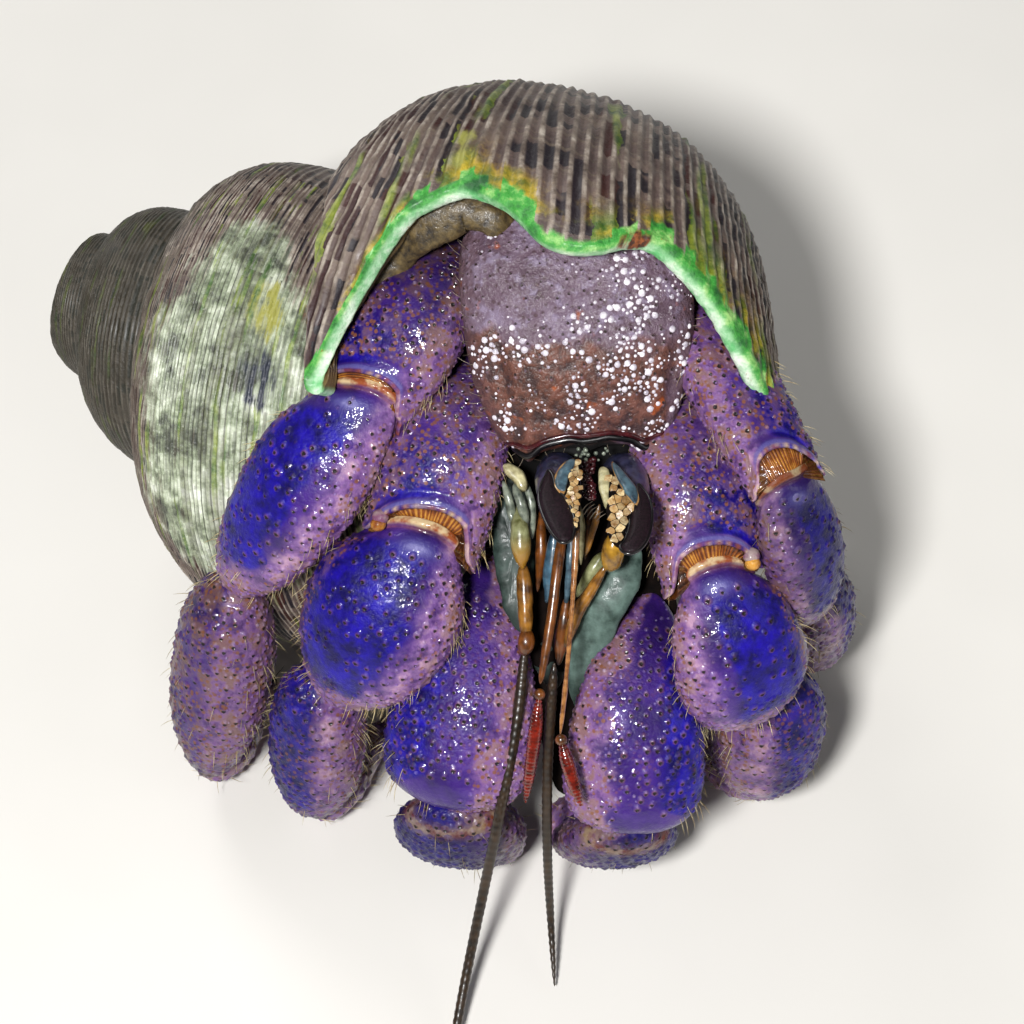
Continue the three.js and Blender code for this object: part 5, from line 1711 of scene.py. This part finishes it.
    # The tip is worn down to a low dome.
    radius_share = add(tree, ("DIVIDE", radius, ("MULTIPLY", given["Worn Tip"], 0.6)))
    dome = add(tree, ("SUBTRACT", given["Worn Tip"], given["Tip Dome"]))
    tip = add(tree, ("MULTIPLY_ADD", ("POWER", radius_share, 2.0), given["Tip Dome"], dome))
    height = add(tree, ("MAXIMUM", height, ("MINIMUM", tip, given["Worn Tip"])))
    angle = add(tree, ("MULTIPLY", turn, 2 * math.pi))
    x = add(tree, ("MULTIPLY", radius, ("COSINE", angle)))
    y = add(tree, ("MULTIPLY", radius, ("SINE", angle)))
    target = add(tree, "CombineXYZ", [x, y, height])
    sag = add(tree, ("MULTIPLY", ("SMOOTHSTEP", turn, -0.03, 0.1), given["Lip Weight"]))
    sagged = add(tree, "VectorMath", [given["Lip Sag"], sag, target], operation="MULTIPLY_ADD")
    to_lip = add(tree, ("MULTIPLY", ("MULTIPLY", back, -2 * math.pi), radius))
    geometry = sheet.outputs["Mesh"]
    for name, value in (
        ("turn", turn), ("share", share), ("strand", strand), ("cord", ridge), ("to_lip", to_lip)
    ):
        geometry = add(
            tree,
            "GeometryNodeStoreNamedAttribute",
            {"Geometry": geometry, "Name": name, "Value": value},
            data_type="FLOAT",
            domain="POINT",
        ).outputs[0]
    coiled = add(tree, "GeometryNodeSetPosition", {"Geometry": geometry, "Position": sagged})
    real = add(tree, "GeometryNodeRealizeInstances", {"Geometry": coiled})
    coated = add(tree, "GeometryNodeSetMaterial", {"Geometry": real, "Material": given["Finish"]})
    add(tree, "NodeGroupOutput", {"Whorl Surface": coated})
    return tree


def shell_finish():
    """Weathered turban shell: chalky grey-brown with worn spiral cords, rows of dark blotches, glossy pale
    patches rubbed through to the pearl, green along the lip and between some cords, a brown mouth."""
    finish, tree = new_finish("turban_shell")
    place = add(tree, "TexCoord").outputs["Object"]
    mark = {
        key: add(tree, "Attribute", attribute_name=key).outputs["Fac"]
        for key in (
            "turn", "strand", "cord", "to_lip", "mint", "mouth", "rubbed", "yellow", "slate", "rust", "dim"
        )
    }

    def random_of(a, b=0.0):
        spot = add(tree, "CombineXYZ", [a, b, 0.5])
        return add(tree, "TexWhiteNoise", {"Vector": spot}).outputs[0]

    def along_coil(turns, strands, detail=2.0):
        """Clouds stretched along the coil, by how many lie in a turn and how many to a cord."""
        spot = {0: ("MULTIPLY", mark["turn"], turns), 1: ("MULTIPLY", mark["strand"], CORDS * strands)}
        return add(tree, ("NOISE", add(tree, "CombineXYZ", spot), 1.0, detail, 0.6))

    cloud = add(tree, ("NOISE", place, 260.0, 5.0, 0.65))  # washes of colour 4 mm across
    patchy = add(tree, ("NOISE", place, 800.0, 4.0, 0.65))  # mottles 1.2 mm across
    grain = add(tree, ("NOISE", place, 2600.0, 4.0, 0.7))  # grain 0.4 mm across
    crest = add(tree, ("SMOOTHSTEP", mark["cord"], 0.62, 0.97))
    valley = add(tree, ("SMOOTHSTEP", mark["cord"], 0.4, 0.05))
    # Dark blotches between the cords, each about as long as two cords are wide, in loose columns.
    gap_number = add(
        tree, ("FLOOR", ("MULTIPLY_ADD", mark["strand"], CORDS, ("MULTIPLY_ADD", patchy, 0.5, 0.25)))
    )
    started = add(tree, ("MULTIPLY_ADD", random_of(gap_number), 3.0, ("MULTIPLY", patchy, 0.9)))
    stretch = add(tree, ("FLOOR", ("MULTIPLY_ADD", mark["turn"], 76.0, started)))
    columns = add(tree, ("MULTIPLY", ("SUBTRACT", along_coil(44.0, 0.07), 0.5), 1.6))
    blot = add(tree, ("SMOOTHSTEP", ("ADD", random_of(stretch, gap_number), columns), 0.52, 0.57))
    blotch = add(tree, ("MULTIPLY", blot, ("MULTIPLY_ADD", crest, -0.85, 1.0)))
    growth_line = add(tree, ("SMOOTHSTEP", along_coil(420.0, 0.1, 1.0), 0.55, 0.68))
    streak = along_coil(26.0, 0.8, 3.0)
    rubbed_to = add(tree, ("MULTIPLY_ADD", streak, 0.9, ("MULTIPLY_ADD", cloud, 0.9, mark["rubbed"])))
    rubbed = add(
        tree, ("MULTIPLY", ("SMOOTHSTEP", rubbed_to, 1.2, 1.55), ("MULTIPLY_ADD", blotch, -0.35, 0.95))
    )
    band = add(tree, ("SMOOTHSTEP", along_coil(4.0, 0.3, 2.0), 0.5, 0.62))
    groove = add(tree, ("MULTIPLY", valley, ("SMOOTHSTEP", random_of(gap_number, 7.0), 0.45, 0.55)))
    cord_number = add(tree, ("FLOOR", ("MULTIPLY_ADD", mark["strand"], CORDS * 0.5, patchy)))
    chance = random_of(cord_number)
    tongue = add(tree, ("SMOOTHSTEP", random_of(gap_number, 3.0), 0.45, 0.8))
    green_cord = add(tree, ("SMOOTHSTEP", chance, 0.7, 0.74))
    green_run = add(tree, ("SMOOTHSTEP", along_coil(13.0, 0.5), 0.5, 0.62))
    near_lip = add(tree, ("SMOOTHSTEP", ("MULTIPLY_ADD", patchy, 0.003, mark["to_lip"]), 0.005, 0.002))
    green = add(tree, ("MULTIPLY", green_cord, ("MAXIMUM", ("MULTIPLY", green_run, 0.8), near_lip)))
    lip_edge = add(tree, ("MULTIPLY_ADD", patchy, 0.0012, ("MULTIPLY_ADD", tongue, -0.0007, mark["to_lip"])))
    lip_green = add(tree, ("SMOOTHSTEP", lip_edge, 0.001, 0.0007))
    lip_yellow = add(
        tree, ("MULTIPLY", ("SMOOTHSTEP", lip_edge, 0.0024, 0.0013), ("SMOOTHSTEP", cloud, 0.46, 0.56))
    )
    lip_spot = add(tree, ("MULTIPLY", ("SMOOTHSTEP", grain, 0.6, 0.68), ("SMOOTHSTEP", patchy, 0.5, 0.6)))
    stain = add(
        tree, ("MULTIPLY", ("SMOOTHSTEP", mark["to_lip"], 0.0042, 0.0008), ("SMOOTHSTEP", cloud, 0.5, 0.62))
    )
    ragged = {}
    for key in ("yellow", "slate", "rust"):
        ragged[key] = add(
            tree,
            (
                "SMOOTHSTEP",
                ("MULTIPLY_ADD", streak, 1.3, ("MULTIPLY_ADD", patchy, 0.9, mark[key])),
                1.6,
                1.95,
            ),
        )
    base = add(tree, ("RAMP", cloud, (0.3, "#352826"), (0.5, "#564641"), (0.72, "#75655a")))
    pale = add(tree, ("RAMP", patchy, (0.33, "#54483f"), (0.5, "#85786c"), (0.68, "#bdb2a4")))
    worn = add(tree, ("MULTIPLY_ADD", cloud, 0.7, ("MULTIPLY_ADD", patchy, 0.5, -0.1)))
    chalk = add(
        tree, ("RAMP", worn, (0.4, "#4c5244"), (0.48, "#8c967c"), (0.55, "#c0c8b0"), (0.62, "#e4e8da"))
    )
    colour = layered(
        tree,
        base,
        [
            (("MULTIPLY", growth_line, 0.4), "#6e6250"),
            (("MULTIPLY", crest, ("MULTIPLY_ADD", growth_line, 0.2, 0.8)), pale),
            (("MULTIPLY", blotch, 0.93), ("RAMP", chance, (0.4, "#0e0714"), (0.75, "#340d08"))),
            (rubbed, chalk),
            (
                ("MULTIPLY", ("MULTIPLY", band, 0.6), rubbed),
                ("RAMP", grain, (0.4, "#2e2a22"), (0.6, "#7a8060")),
            ),
            (("MULTIPLY", valley, ("MULTIPLY_ADD", rubbed, 0.4, 0.2)), "#1c1513"),
            (("MULTIPLY", ("MULTIPLY", groove, rubbed), 0.85), "#120d0c"),
            (("MULTIPLY", green, 0.8), ("RAMP", patchy, (0.4, "#2c5a10"), (0.6, "#8a9a28"))),
            (("MULTIPLY", stain, 0.7), ("RAMP", grain, (0.4, "#4a2a12"), (0.6, "#94761c"))),
            (ragged["yellow"], "#98964a"),
            (ragged["slate"], "#262b38"),
            (("MULTIPLY", mark["dim"], 0.76), "#1b1d0b"),
            (("MULTIPLY", lip_yellow, 0.8), ("RAMP", patchy, (0.4, "#55600e"), (0.6, "#b49a1a"))),
            (lip_green, ("RAMP", patchy, (0.33, "#12501e"), (0.5, "#3a9434"), (0.64, "#94c470"))),
            (mark["mint"], ("RAMP", patchy, (0.35, "#5cae68"), (0.5, "#a4cca4"), (0.65, "#dce6d6"))),
            (("MULTIPLY", lip_spot, ("MULTIPLY", lip_green, 0.8)), "#8a5a1c"),
            (ragged["rust"], ("RAMP", grain, (0.42, "#3a1a0c"), (0.6, "#86481e"))),
            (mark["mouth"], ("RAMP", cloud, (0.35, "#3a2a14"), (0.65, "#80683c"))),
        ],
    )
    gloss = add(tree, ("SUBTRACT", 0.55, ("MULTIPLY", rubbed, 0.3)))
    lumps_height = add(tree, ("MULTIPLY_ADD", patchy, 0.6, ("MULTIPLY", grain, 0.6)))
    dents = add(tree, "Bump", {"Height": lumps_height, "Strength": 0.7, "Distance": 0.0003})
    inputs = {
        "Base Color": colour, "Roughness": gloss, "Normal": dents, "Coat Weight": 0.12, "Coat Roughness": 0.25
    }
    shader = add(tree, "BsdfPrincipled", inputs)
    add(tree, "OutputMaterial", {"Surface": shader})
    return finish


SHELL_FINISH = shell_finish()
WHORLS = whorl_tree()
SHELL_AXES = np.stack([TOWARDS_LIP, GROWTH_WAY, TO_BASE])
LOOK = np.array([0, math.cos(LEAN), -math.sin(LEAN)])  # the way that the lip's left corner is pressed in


def read(mesh, name, width=1):
    values = np.zeros(len(mesh.vertices) * width, np.float32)
    layer = mesh.attributes[name]
    layer.data.foreach_get("value" if width == 1 else "vector", values)
    return values.astype(float)


def whorl_sheet(name, first, last, crowding, weight, stations, steps):
    """Points (steps by stations, in layout millimetres) and marks of the surface from one turn to another."""
    mesh = grown(
        name,
        bpy.data.meshes.new(name),
        WHORLS,
        {
            "Lip Height": LIP_HEIGHT,
            "Lip Radius": LIP_RADIUS,
            "Shoulder Radius": SHOULDER_RADIUS,
            "Shoulder Rise": SHOULDER_RISE,
            "Base Reach": BASE_REACH,
            "Whorl Ratio": WHORL_RATIO,
            "Late Growth": LATE_GROWTH,
            "First Turn": first,
            "Last Turn": last,
            "Crowding": crowding,
            "Lip Weight": weight,
            "Cord Count": float(CORDS),
            "Cord Height": 0.21,
            "Cord Fan": 1.3,
            "Wear": 0.55,
            "Worn Tip": APEX_WEAR,
            "Tip Dome": APEX_DOME,
            "Lip Sag": tuple(float(v) for v in SHELL_AXES @ LOOK * 4.0),
            "Stations": stations,
            "Steps": steps,
            "Finish": SHELL_FINISH,
        },
    )
    points = read(mesh, "position", 3).reshape(steps, stations, 3) @ SHELL_AXES + APEX
    points[..., 2] = np.maximum(points[..., 2], 0)
    marks = {
        key: read(mesh, key).reshape(steps, stations) for key in ("turn", "share", "strand", "cord", "to_lip")
    }
    marks["to_lip"] = marks["to_lip"] * MM
    bpy.data.meshes.remove(mesh)
    return points, marks


SPOTS = {  # (place, radius) of the shell's own patches
    "yellow": [
        ((-12.4, 0.3, 25.2), 1.3),
        ((-12.4, -1.4, 24.9), 1.2),
        ((-2.3, 1.6, 34.4), 1.1),
        ((-2.2, 3.4, 33.9), 0.9),
    ],
    "slate": [((-12.7, -3.1, 23.9), 1.3), ((-12.6, -4.4, 23.1), 1.2)],
    "rust": [((-10.0, -0.9, 24.8), 0.8), ((6.4, -3.5, 34.3), 0.9), ((5.5, -3.6, 34.2), 0.7)],
    "rubbed": [
        ((-15.0, -4.1, 22.3), 4.2),
        ((-11.5, -4.5, 23.1), 3.6),
        ((-14.8, -1.1, 24.1), 4.0),
        ((-15.7, -7.6, 16.8), 4.4),
        ((-13.2, -6.6, 19.0), 3.8),
        ((-13.2, 3.2, 25.3), 2.2),
    ],
}
SHELL_MARKS = (
    "turn", "strand", "cord", "to_lip", "mint", "mouth", "rubbed", "yellow", "slate", "rust", "dim"
)


def shell_mesh(name, points, marks):
    """A sheet of shell as a mesh in the frame, with all the marks its finish reads."""
    rings, sides = points.shape[:2]
    for key in ("yellow", "slate", "rust", "rubbed"):
        total = sum(bell(np.linalg.norm(points - np.array(p), axis=-1), 0, r) for p, r in SPOTS[key])
        marks[key] = np.clip(total, 0, 1) * (0.8 if key == "rubbed" else 0.75)
    i, j = np.meshgrid(np.arange(rings - 1), np.arange(sides - 1), indexing="ij")
    quads = np.stack([i * sides + j, i * sides + j + 1, (i + 1) * sides + j + 1, (i + 1) * sides + j], -1)
    mesh = bpy.data.meshes.new(name)
    mesh.from_pydata(((points.reshape(-1, 3) + LAYOUT) * MM).tolist(), [], quads.reshape(-1, 4).tolist())
    for key in SHELL_MARKS:
        give(mesh, key, np.asarray(marks.get(key, 0.0), float) * np.ones((rings, sides)))
    mesh.shade_smooth()
    return mesh


last_points, last_marks = whorl_sheet("last_whorl", -1.06, 0.0, 1.3, 1.0, 440, 220)
spire_points, spire_marks = whorl_sheet("spire", -3.8, -0.96, 0.9, 0.0, 250, 320)


def sheet_normals(points):
    return unit(np.cross(np.gradient(points, axis=1), np.gradient(points, axis=0)))


outward = sheet_normals(last_points)
axis_point = APEX + TO_BASE * ((last_points - APEX) @ TO_BASE)[..., None]
if (outward * (last_points - axis_point)).sum() < 0:
    outward = -outward


def evened(rows):
    """A row of points, each the mean of its neighbours up to nine places away."""
    reach = 9
    padded = np.pad(rows, ((reach, reach), (0, 0)), mode="edge")
    return np.mean([padded[k : k + len(rows)] for k in range(2 * reach + 1)], axis=0)


# The lip: from its outer edge over a rounded rim to an inside wall that runs back into the mouth.
rim_rings, rim_marks = [], []
edge, edge_out = last_points[-1], evened(outward[-1])
onward = unit(last_points[-1] - last_points[-4])
lip_share = last_marks["share"][-1]
thick = 1.0 * SHELL_WALL * (0.08 + 0.92 * step(0.215, 0.27, lip_share) * step(1.0, 0.8, lip_share))
for k in range(1, 9):
    bend = math.pi * k / 8
    start = edge + (evened(edge) - edge) * step(0, 6, k)
    rim_rings.append(
        start - edge_out * (thick * 0.5 * (1 - math.cos(bend)))[:, None]
        + onward * (0.42 * thick * math.sin(bend))[:, None]
    )
    rim_marks.append((0.0, step(1.5, 4.0, k) * step(8.2, 6.0, k), step(6.0, 8.2, k)))
for k in range(1, 60):
    row = len(last_points) - 1 - int(k * 2.2)
    if row < 0:
        break
    wall = thick * (1 + 1.1 * min(k, 9) / 9)
    rim_rings.append(evened(last_points[row]) - evened(outward[row]) * wall[:, None])
    rim_marks.append((0.01, 0.0, 1.0))
rim_points = np.stack([edge, *rim_rings])
values = np.array([(-0.0003, 0.0, 0.0), *rim_marks])
width = edge.shape[0]
rim_values = {
    "to_lip": np.repeat(values[:, :1], width, 1),
    "mint": values[:, 1:2] * step(0.225, 0.25, lip_share),
    "mouth": np.repeat(values[:, 2:], width, 1),
    "strand": np.repeat(last_marks["strand"][-1:], len(rim_points), 0),
    "turn": np.repeat(last_marks["turn"][-1:], len(rim_points), 0),
    "cord": np.repeat(last_marks["cord"][-1:], len(rim_points), 0),
}
# Seen through the mouth, the whorl before is brown and smooth.
last_marks["mouth"] = 0.0
last_marks["dim"] = 0.7 * step(-0.6, -0.98, last_marks["turn"]) * step(0.35, 0.2, last_marks["share"])
last_marks["to_lip"] = last_marks["to_lip"] + 0.01 * step(0.24, 0.225, last_marks["share"])
spire_marks["dim"] = step(-0.95, -1.5, spire_marks["turn"])
spire_marks["to_lip"] = spire_marks["to_lip"] + 1
spire_marks["rubbed"] = 0.0
# The worn tip is closed by a low dome inside its first turn.
tip_turn = spire_points[spire_marks["turn"][:, 0] < spire_marks["turn"].min() + 1.0, 0] - APEX
tip_depth = tip_turn @ TO_BASE
tip_radius = 1.12 * np.linalg.norm(tip_turn - tip_depth[:, None] * TO_BASE, axis=1).max()
side_way = unit(np.cross(TO_BASE, [0.0, 0.0, 1.0]))
tip_round = np.stack([side_way, np.cross(TO_BASE, side_way)])
rise, way = np.meshgrid(
    np.linspace(0.02, 1, 14) * math.pi / 2, np.linspace(0, 2 * math.pi, 49), indexing="ij"
)
around = np.stack([np.cos(way), np.sin(way)], -1) @ tip_round * (tip_radius * np.sin(rise))[..., None]
bottom, top = tip_depth.max() + 0.3, tip_depth.min() - 0.1
tip_points = APEX + around + (bottom - (bottom - top) * np.cos(rise))[..., None] * TO_BASE
tip_marks = {"dim": 1.0, "to_lip": 1.0, "cord": 0.5, "turn": -3.9, "strand": 0.3}
pieces = [
    ("turban_shell_tip", tip_points, tip_marks),
    ("turban_shell_last_whorl", last_points, last_marks),
    ("turban_shell_spire", spire_points, spire_marks),
    ("turban_shell_lip", rim_points, rim_values),
]
for name, points, marks in pieces:
    mesh = shell_mesh(name, points, marks)
    mesh.update()
    first = mesh.polygons[(points.shape[1] - 1) * (points.shape[0] // 2) + points.shape[1] // 2]
    spot = np.array(first.center) / MM - LAYOUT
    away = spot - (APEX + TO_BASE * ((spot - APEX) @ TO_BASE))
    outwards = float(np.dot(np.array(first.normal), away)) > 0
    if name == "turban_shell_lip":
        outwards = not outwards
    if not outwards:
        mesh.flip_normals()
    piece(name, mesh, SHELL_FINISH, ["shell"] if name == "turban_shell_last_whorl" else ())

# The mantle's soft brown collar lines the roof of the mouth.
seat = edge[(lip_share > 0.37) & (lip_share < 0.52)][::6]
sink = 2.2 + 2.5 * np.abs(np.linspace(-1, 1, len(seat))) ** 3
seat = seat - 1.2 * HEAD_AXES[1] - sink[:, None] * HEAD_AXES[2]
collar = limb_skin(
    path=seat, width=(0.6, 1.1, 1.2, 0.8), top=(0.4, 0.6, 0.7, 0.5), face=HEAD_AXES[2], spacing=0.2
)
collar.push(0.12 * lumps(collar.points, 0.9, 90) + 0.06 * lumps(collar.points, 0.35, 91))
skin_piece("mantle_collar", collar, MANTLE)

# ---- Stage ----
bpy.ops.mesh.primitive_plane_add(size=4.0, location=(0, 0, 0))
floor = bpy.context.object
floor.name = "floor"
floor.data.materials.append(plain_finish("pale_floor", "#d2cfc9", "#dcd9d3", 60.0, 0.8, bump=0.0))


def lamp(name, at, aim, size, watts):
    light = bpy.data.lights.new(name, "AREA")
    light.shape, light.size, light.energy = "DISK", size, watts
    made = bpy.data.objects.new(name, light)
    bpy.context.scene.collection.objects.link(made)
    made.location = at
    made.rotation_euler = (Vector(aim) - Vector(at)).to_track_quat("-Z", "Y").to_euler()


CENTRE = (0.0, 0.0, 0.018)
lamp("key", (-0.06, -0.2, 0.3), CENTRE, 0.05, 1.8)
lamp("fill", (0.3, -0.1, 0.25), CENTRE, 0.25, 0.22)
lamp("back", (-0.2, 0.35, 0.3), CENTRE, 0.2, 0.8)
world = bpy.data.worlds.new("studio")
bpy.context.scene.world = world
world.use_nodes = True
world.node_tree.nodes["Background"].inputs[0].default_value = paint("#cfd3d8")
world.node_tree.nodes["Background"].inputs[1].default_value = 0.11
bpy.context.scene.view_settings.view_transform = "Standard"

# The camera looks down 55 degrees at the front from 230 mm away.
LOOK_DOWN = math.radians(55)
DISTANCE = 230.0
FOCAL_LENGTH = 144.4
aim = np.array([0, 4.66, 0]) + LAYOUT
ahead = np.array([0, math.cos(LOOK_DOWN), -math.sin(LOOK_DOWN)])
camera_data = bpy.data.cameras.new("camera")
camera_data.lens = FOCAL_LENGTH
camera_data.clip_start = 0.01
camera = bpy.data.objects.new("camera", camera_data)
bpy.context.scene.collection.objects.link(camera)
camera.location = (aim - ahead * DISTANCE) * MM
camera.rotation_euler = Vector(ahead).to_track_quat("-Z", "Y").to_euler()
bpy.context.scene.camera = camera
